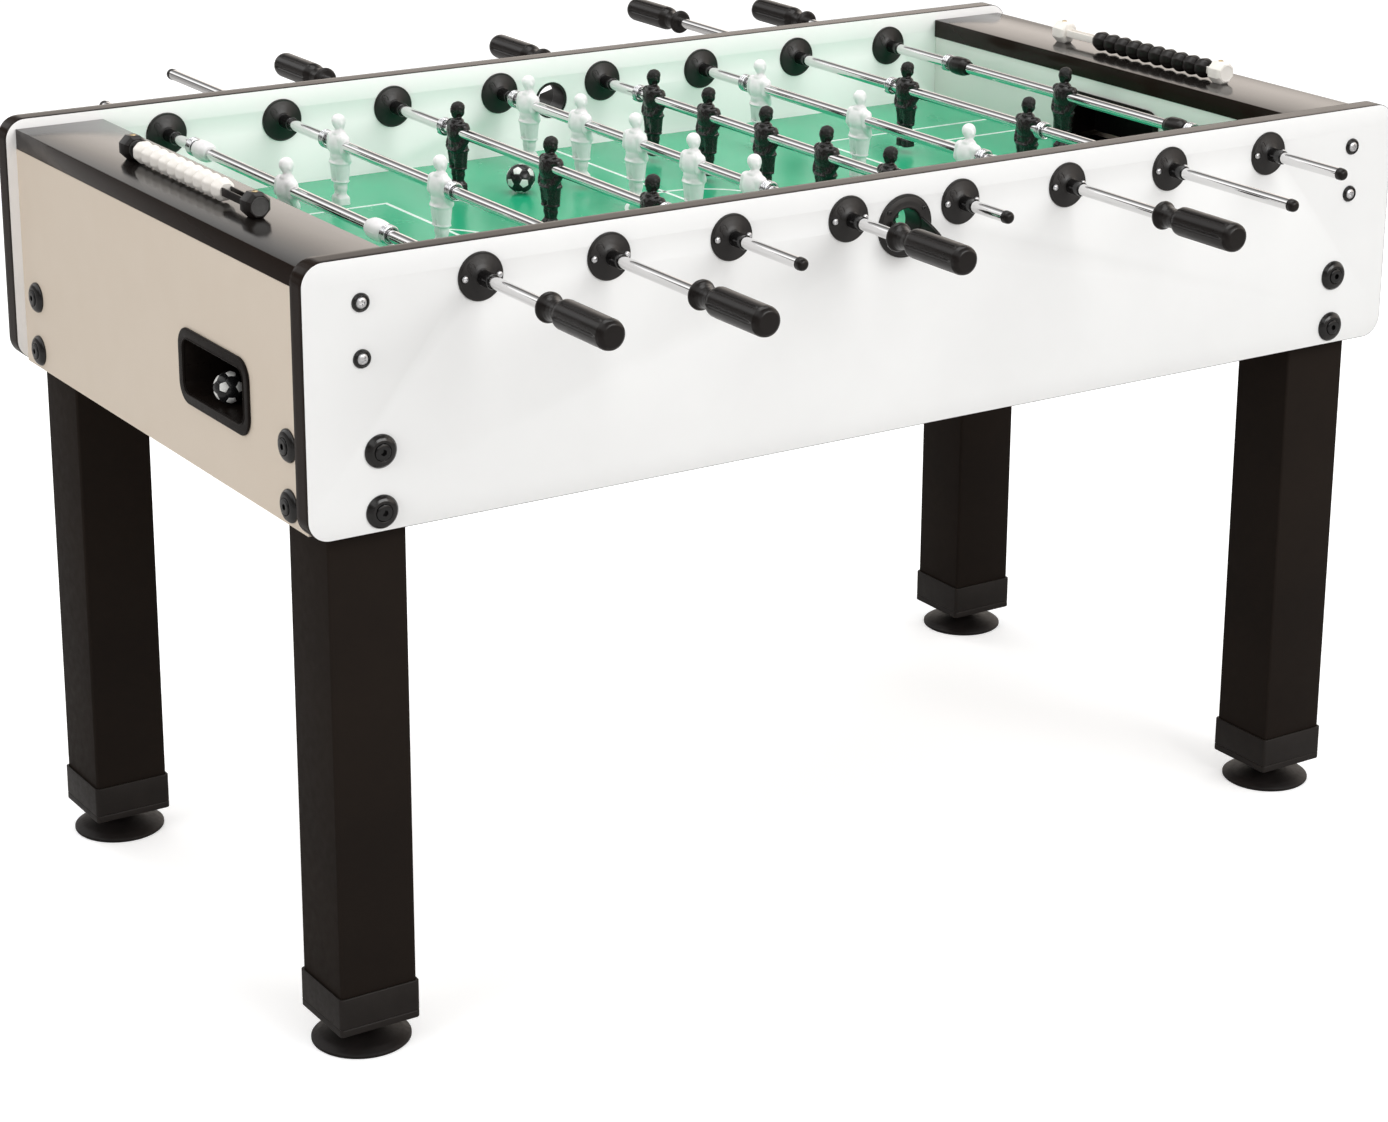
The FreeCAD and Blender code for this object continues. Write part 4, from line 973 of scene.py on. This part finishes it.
for number, kind in enumerate(KINDS, start=1):
    body = "rod_%d" % number
    men = Place(body + "_players").middle.y
    grips = Place(body + "_handle")
    at_front = grips.middle.y < men
    man, stop, slot = TEAMS[at_front]
    rod = spot(ROD_X[number - 1], men - MIDDLE_Y, ROD_Z, 0 if at_front else 180)
    ends = (men - grips.low.y, grips.high.y - men)
    handle_end, cap_end = ends if at_front else ends[::-1]
    for i, y in enumerate(STANDS[kind], start=1):
        piece("%s_player_%d" % (body, i), man, slot, rod @ shift(y), body + "_players",
              body=body)
    if kind == "goalie":
        for i, y in enumerate(SLEEVES, start=1):
            piece("%s_sleeve_%d" % (body, i), stop, slot, rod @ shift(y) @ ALONG_BACK,
                  body + "_players", body=body)
    piece(body + "_grip", handle_mesh, "black_plastic",
          rod @ shift(HANDLE - handle_end) @ ALONG_FRONT, body + "_handle", body=body)
    piece(body + "_cap", cap_mesh, "black_plastic", rod @ shift(cap_end) @ ALONG_BACK,
          body + "_handle", body=body)
    spring_start = Place(body + "_springs").size.y / 2 - SPRING_REACH
    for i, (way, along) in enumerate(((-1, ALONG_FRONT), (1, ALONG_BACK)), start=1):
        piece("%s_spring_%d" % (body, i), spring_mesh, "chrome",
              rod @ shift(way * spring_start) @ along, body + "_springs",
              body=body + "_carrier")

# --- legs, collars, feet ---
LEG, LEG_CORNER, LEG_WALL = 87.0, 3.2, 3
COLLAR, COLLAR_CORNER = 92.0, 4.2
legs = Place("legs")
collars = Place("leg_collars")
leg_mesh = plate([oblong(LEG, LEG, LEG_CORNER, steps=5),
                  oblong(LEG - 2 * LEG_WALL, LEG - 2 * LEG_WALL, 1, steps=2, hole=True)],
                 legs.low.z, legs.high.z, 0.6).mesh("leg", "powder_black")
collar_ring = oblong(COLLAR, COLLAR, COLLAR_CORNER, steps=6)
collar = plate([collar_ring, oblong(LEG + 0.2, LEG + 0.2, LEG_CORNER, steps=5, hole=True)],
               legs.low.z, collars.high.z, 1.0, 3)
plate([collar_ring, ring(8.2, 32, hole=True)], collars.low.z, legs.low.z, 1.2, 3, shape=collar)
collar_mesh = collar.mesh("collar", "collar_black")
foot_mesh = turned("foot", "foot_black", [
    (0, 0), (50.8, 0), (52.3, 1.2, 0.9), (52.4, 3.8, 0.9), (50.6, 5.2, 1.5), (43.5, 8.8, 20),
    (27, 12.6, 20), (17.5, 14.4, 6), (14.4, 17.0, 2), (14.0, 24.2, 0.6), (13.3, 25.0, 0.3),
    (8.1, 25.0), (8.0, 99.2, 0.5), (7.2, 100.0), (0, 100.0)], 72)
for side, sx in LEFT_RIGHT:
    for end, sy, _ in FRONT_BACK:
        label = side + "_" + end
        where = spot(sx * (legs.high.x - LEG / 2), sy * (legs.size.y / 2 - LEG / 2), 0)
        piece("leg_" + label, leg_mesh, "black_metal", where, "legs")
        piece("collar_" + label, collar_mesh, "black_plastic", where, "leg_collars")
        piece("levelling_foot_" + label, foot_mesh, "black_rubber", where, "foot_" + label,
              body="foot_" + label)

# --- leg bolts and panel screws ---
SIDE_BOLT_IN, END_BOLT_IN, SCREW_IN = 80, 62.2, 62.5    # from the panel's end or outside
PANEL_SCREW_HEIGHT = 1.2
LEVELS = (("high", 661.0, 813.0), ("low", 599.0, 757.0))    # heights of a bolt and a screw
washer_mesh = turned("leg_washer", "gloss_black", [
    (4.2, 0), (17.3, 0), (17.3, 1.5, 0.5), (16.6, 2.6, 0.8), (14.6, 4.7, 4), (12.0, 5.8, 1.5),
    (10.2, 6.1, 0.6), (9.2, 5.9, 0.3), (9.0, 3.4, 0.2), (4.2, 3.2)], 64)
bolt_mesh = turned("leg_bolt", "bush_black", [
    (0, -38), (4, -38), (4, 3.2), (8.6, 3.2), (8.6, 6.3, 0.5), (8.0, 7.1, 0.6), (6.6, 7.4, 0.4),
    (0, 7.4)])
bolt_mesh = carved(bolt_mesh, plate([ring(3.5, 6)], 4.0, 10, 0.01, 1).mesh("hex", "bush_black"))
cup_mesh = turned("screw_cup", "gloss_black", [
    (2.6, 0), (9.6, 0), (9.6, 0.9, 0.4), (8.9, 2.4, 1), (7.9, 3.3, 0.6), (6.9, 3.4, 0.4),
    (6.4, 2.8, 0.3), (6.3, 1.0), (2.6, 1.0)])

panel_half = panel_long / 2
for side, sx in LEFT_RIGHT:
    for end, sy, turn in FRONT_BACK:
        for level, bolt_z, screw_z in LEVELS:
            tag = "_%s_%s_" % (side, end)
            for label, where in (
                    ("side_", facing(sx * (panel_half - SIDE_BOLT_IN), sy * HALF_WIDE, bolt_z,
                                     turn)),
                    ("end_", facing(sx * end_outside, sy * (HALF_WIDE - END_BOLT_IN), bolt_z,
                                    90 * sx))):
                piece("washer" + tag + label + level, washer_mesh, "black_metal", where,
                      "leg_bolts")
                piece("bolt" + tag + label + level, bolt_mesh, "black_metal",
                      where @ Matrix.Rotation(0.3 * (sx + 2 * sy + bolt_z), 4, "Z"),
                      "leg_bolts")
            where = facing(sx * (panel_half - SCREW_IN), sy * HALF_WIDE, screw_z, turn)
            piece("screw_cup" + tag + level, cup_mesh, "black_plastic", where,
                  "panel_screw_cups")
            piece("panel_screw" + tag + level, big_screw, "chrome",
                  where @ Matrix.Translation((0, 0, PANEL_SCREW_HEIGHT * MM))
                  @ Matrix.Rotation(0.7 * (sx + 3 * sy) + bolt_z, 4, "Z"), "panel_screws")

# --- score counters ---
BEAD_HALF, BEAD_FLAT, BEAD_TAPER = 10.4, 11.8, 0.58
BEAD_ROWS = 16
BEADS = 10
POST_HALF, POST_FLAT = 11, 13.4
BAR_WIDE, BAR_HIGH, BAR_WALL = 12.0, 9.0, 2.0
POST_TOP = 12.6


def octagon(flat, rounding, grow=1.0):
    r = flat * grow / math.cos(math.pi / 8)
    return curved([(*around(r, math.pi / 8 + math.pi / 4 * i), rounding) for i in range(8)],
                  4, closed=True)


def stacked(levels):
    """A closed skin over (outline, z) levels of equal point counts."""
    count = len(levels[0][0])
    points = [(x, y, z) for outline, z in levels for x, y in outline]
    faces = [tuple(range(count))[::-1],
             tuple((len(levels) - 1) * count + i for i in range(count))]
    return Shape().add(points, faces + skin(len(levels), count))


def bead():
    """An eight-sided bead, thinner towards its ends."""
    levels = []
    for i in range(BEAD_ROWS + 1):
        t = -math.cos(math.pi * i / BEAD_ROWS)
        levels.append((octagon(BEAD_FLAT, 4.2, math.sqrt(1 - BEAD_TAPER * t * t)), BEAD_HALF * t))
    return stacked(levels)


def post():
    """An eight-sided end post with a sunk disc in both ends, in the second finish."""
    shape = stacked([(octagon(POST_FLAT, 1.2, grow), z) for z, grow in (
        (-POST_HALF, 0.79), (-10.3, 0.84), (-7.6, 0.985), (-7.0, 1.0), (7.0, 1.0),
        (7.6, 0.985), (10.3, 0.84), (POST_HALF, 0.79))])
    for end in (-1, 1):
        lathe(curved([(9.9, end * 10.8), (9.9, end * 11.5, 0.3), (9.2, end * 11.6, 0.2),
                      (8.9, end * 11.1, 0.3), (0, end * 11.1)], 3), 40, shape=shape,
              closed=False, finish=1)
    return shape


def channel(half):
    """The open bar that the beads run on, along z."""
    w, h = BAR_WIDE / 2, BAR_HIGH / 2
    outline = curved([(-w, -h, 1.0), (w, -h, 1.0), (w, h, 0.6), (w - BAR_WALL, h, 0.4),
                      (w - BAR_WALL, -h + BAR_WALL, 0.6), (-w + BAR_WALL, -h + BAR_WALL, 0.6),
                      (-w + BAR_WALL, h, 0.4), (-w, h, 0.6)], 3, closed=True)
    return plate([outline], -half, half, 0.2, 1)


# the frame's finishes and slot, then the beads' finish and slot
COUNTERS = {"left": (("grip_black", "post_cap"), "black_plastic", "bead_white",
                     "white_plastic"),
            "right": (("bead_white", "bead_white"), "white_plastic", "grip_black",
                      "black_plastic")}
for side, (frame_finish, frame_slot, bead_finish, bead_slot) in COUNTERS.items():
    node = side + "_score_frame"
    box = Place(node)
    x, z = box.middle.x, box.middle.z
    half = box.size.y / 2
    middle = box.middle.y - MIDDLE_Y
    piece(side + "_score_bar", channel(half - 20).mesh(side + "_score_bar", *frame_finish),
          frame_slot, spot(x, middle, z) @ ALONG_FRONT, node)
    post_mesh = post().mesh(side + "_score_post", *frame_finish, sharp=30)
    for label, way, _ in FRONT_BACK:
        where = spot(x, middle + way * (half - POST_HALF), z)
        piece("%s_score_post_%s" % (side, label), post_mesh, frame_slot, where @ ALONG_FRONT,
              node)
        piece("%s_score_screw_%s" % (side, label), brass_screw, "chrome",
              where @ Matrix.Translation(Vector((0, 0, POST_TOP)) * MM)
              @ Matrix.Rotation(0.5 * way, 4, "Z"))
    bead_mesh = bead().mesh(side + "_bead", bead_finish, sharp=24)
    node = side + "_score_beads"
    row = Place(node)
    pitch = (row.size.y - 2 * BEAD_HALF) / (BEADS - 1)
    for i in range(BEADS):
        y = row.low.y + BEAD_HALF + pitch * i - MIDDLE_Y
        piece("%s_bead_%d" % (side, i + 1), bead_mesh, bead_slot, spot(x, y, z) @ ALONG_FRONT,
              node, body=node)


# --- balls ---
BALL_RADIUS = 17.0
FINE = 9                # steps along a patch's edge
SEAM_DEPTH, SEAM_WIDTH = 0.028, 0.07


def football():
    """Twelve light five-sided patches on a dark ball, with a seam sunk round each patch."""
    work = bmesh.new()
    bmesh.ops.create_icosphere(work, subdivisions=1, radius=1.0)
    bmesh.ops.bevel(work, geom=work.verts[:], offset=33.333, offset_type="PERCENT",
                    affect="VERTICES", segments=1)
    shape = Shape()
    for face in work.faces:
        corners = [v.co.copy() for v in face.verts]
        centre = sum(corners, Vector()) / len(corners)
        light = len(corners) == 5
        for a, b in zip(corners, corners[1:] + corners[:1]):
            points, faces, index = [], [], {}
            for i in range(FINE + 1):
                for j in range(FINE + 1 - i):
                    inner = 1 - (i + j) / FINE
                    p = a * (i / FINE) + b * (j / FINE) + centre * inner
                    sunk = SEAM_DEPTH * math.exp(-(inner / SEAM_WIDTH) ** 2)
                    index[i, j] = len(points)
                    points.append(p.normalized() * BALL_RADIUS * (1 - sunk))
            for i in range(FINE):
                for j in range(FINE - i):
                    faces.append((index[i, j], index[i + 1, j], index[i, j + 1]))
                    if i + j < FINE - 1:
                        faces.append((index[i + 1, j], index[i + 1, j + 1], index[i, j + 1]))
            shape.add(points, faces, 1 if light else 0)
    work.free()
    return shape.mesh("football", "ball_black", "ball_white", sharp=80)


football_mesh = football()
for name, tilt in (("match_ball", (0.9, 0.5, 0.3)), ("tray_ball", (0.2, 1.1, 0.7))):
    centre = Place(name).middle
    where = spot(centre.x, centre.y - MIDDLE_Y, centre.z)
    for angle, axis in zip(tilt, "XYZ"):
        where = where @ Matrix.Rotation(angle, 4, axis)
    piece(name + "_football", football_mesh, "ball_black", where, name, body=name)

# --- floor, light, camera ---
WHITE = (1, 1, 1, 1)
FLOOR_HALF = 30         # metres
floor_material = bpy.data.materials.new("studio_floor")
n = Nodes(floor_material)
paper = n.add("BsdfPrincipled", in_Roughness=0.85, in_Base_Color=(0.86, 0.86, 0.86, 1),
              in_Emission_Color=WHITE, in_Emission_Strength=0.42, in_Specular_IOR_Level=0.1)
# the floor looks lighter than the light that it throws back
duller = n.add("BsdfDiffuse", in_Color=(0.5, 0.49, 0.48, 1))
n.join(n.by_ray("Is Camera Ray", duller, paper), "Shader", n.add("OutputMaterial"), "Surface")
floor_mesh = bpy.data.meshes.new("studio_floor")
floor_mesh.from_pydata([(x * FLOOR_HALF, y * FLOOR_HALF, 0)
                        for x, y in ((-1, -1), (1, -1), (1, 1), (-1, 1))], [], [(0, 1, 2, 3)])
floor_mesh.materials.append(floor_material)
floor = bpy.data.objects.new("studio_floor", floor_mesh)
bpy.context.scene.collection.objects.link(floor)

# how bright the studio mirrors in gloss, by the angle about Y from the right over the top
BANDS = [(0.0, 0.6), (1.0, 0.42), (0.06, 1.5), (0.15, 1.5), (0.2, 1.1), (0.26, 0.7),
         (0.3, 0.22), (0.46, 0.18), (0.5, 0.5), (0.6, 0.6), (0.64, 1.35), (0.78, 1.4),
         (0.81, 0.18), (0.91, 0.12), (0.95, 0.5)]
world = bpy.data.worlds.new("studio")
bpy.context.scene.world = world
n = Nodes(world)
even = n.add("Background", in_Strength=0.62, in_Color=WHITE)
boxes = n.add("Background", in_Strength=1.0)
backdrop = n.add("Background", in_Strength=1.0, in_Color=WHITE)
# polished rods along Y mirror long bright and dark bands, so the bands turn about Y
parts = n.add("SeparateXYZ")
turn_about = n.add("Math", operation="ARCTAN2")
share = n.add("Math", operation="DIVIDE")
share.inputs[1].default_value = math.pi
ramp = n.add("ValToRGB")
stops = ramp.color_ramp.elements
for position, level in BANDS:
    stop = stops[int(position)] if position in (0.0, 1.0) else stops.new(position)
    warm = 0.91 if position < 0.25 else 1 - 0.1 * max(0.0, 0.5 - level)
    stop.color = (level, level * warm, level * warm * warm, 1)
n.join(n.add("TexCoord"), "Generated", parts, "Vector")
n.join(parts, "Z", turn_about, 0)
n.join(parts, "X", turn_about, 1)
n.join(turn_about, "Value", share, 0)
n.join(share, "Value", ramp, "Fac")
n.join(ramp, "Color", boxes, "Color")
lit = n.by_ray("Is Glossy Ray", even, boxes)
n.join(n.by_ray("Is Camera Ray", lit, backdrop), "Shader", n.add("OutputWorld"), "Surface")

# softboxes, in metres: place, height aimed at, width, height, watts and whether gloss shows it
for name, place, aim, width, height, power, mirrored in (
        ("key", (1.2, -4.6, 3.0), 0.7, 3.2, 2.4, 128, True),
        ("top", (0.3, 0.4, 4.2), 0.8, 3.4, 2.2, 70, True),
        ("left_fill", (-4.6, -0.8, 1.9), 0.7, 2.6, 2.2, 54, False),
        ("back_fill", (-1.5, 4.5, 2.8), 0.7, 3.0, 2.0, 50, False)):
    light = bpy.data.lights.new(name, "AREA")
    light.shape = "RECTANGLE"
    light.size, light.size_y = width, height
    light.energy = power
    box = bpy.data.objects.new(name, light)
    bpy.context.scene.collection.objects.link(box)
    box.location = place
    box.rotation_euler = (Vector((0, 0, aim)) - Vector(place)).to_track_quat("-Z", "Y").to_euler()
    box.visible_glossy = mirrored

camera_data = bpy.data.cameras.new("camera")
camera_data.sensor_width = 36.0
camera_data.lens = 85.99
camera_data.shift_x = -0.0421
camera_data.shift_y = -0.1
camera_data.clip_end = 100
camera = bpy.data.objects.new("camera", camera_data)
bpy.context.scene.collection.objects.link(camera)
camera.location = (-2.0304, MIDDLE_Y * MM - 3.1168, 1.6633)
camera.rotation_euler = (1.26366, -0.01004, -0.58864)
bpy.context.scene.camera = camera
bpy.context.scene.view_settings.view_transform = "Standard"

for thing in list(bpy.data.meshes):
    if thing.users == 0:
        bpy.data.meshes.remove(thing)
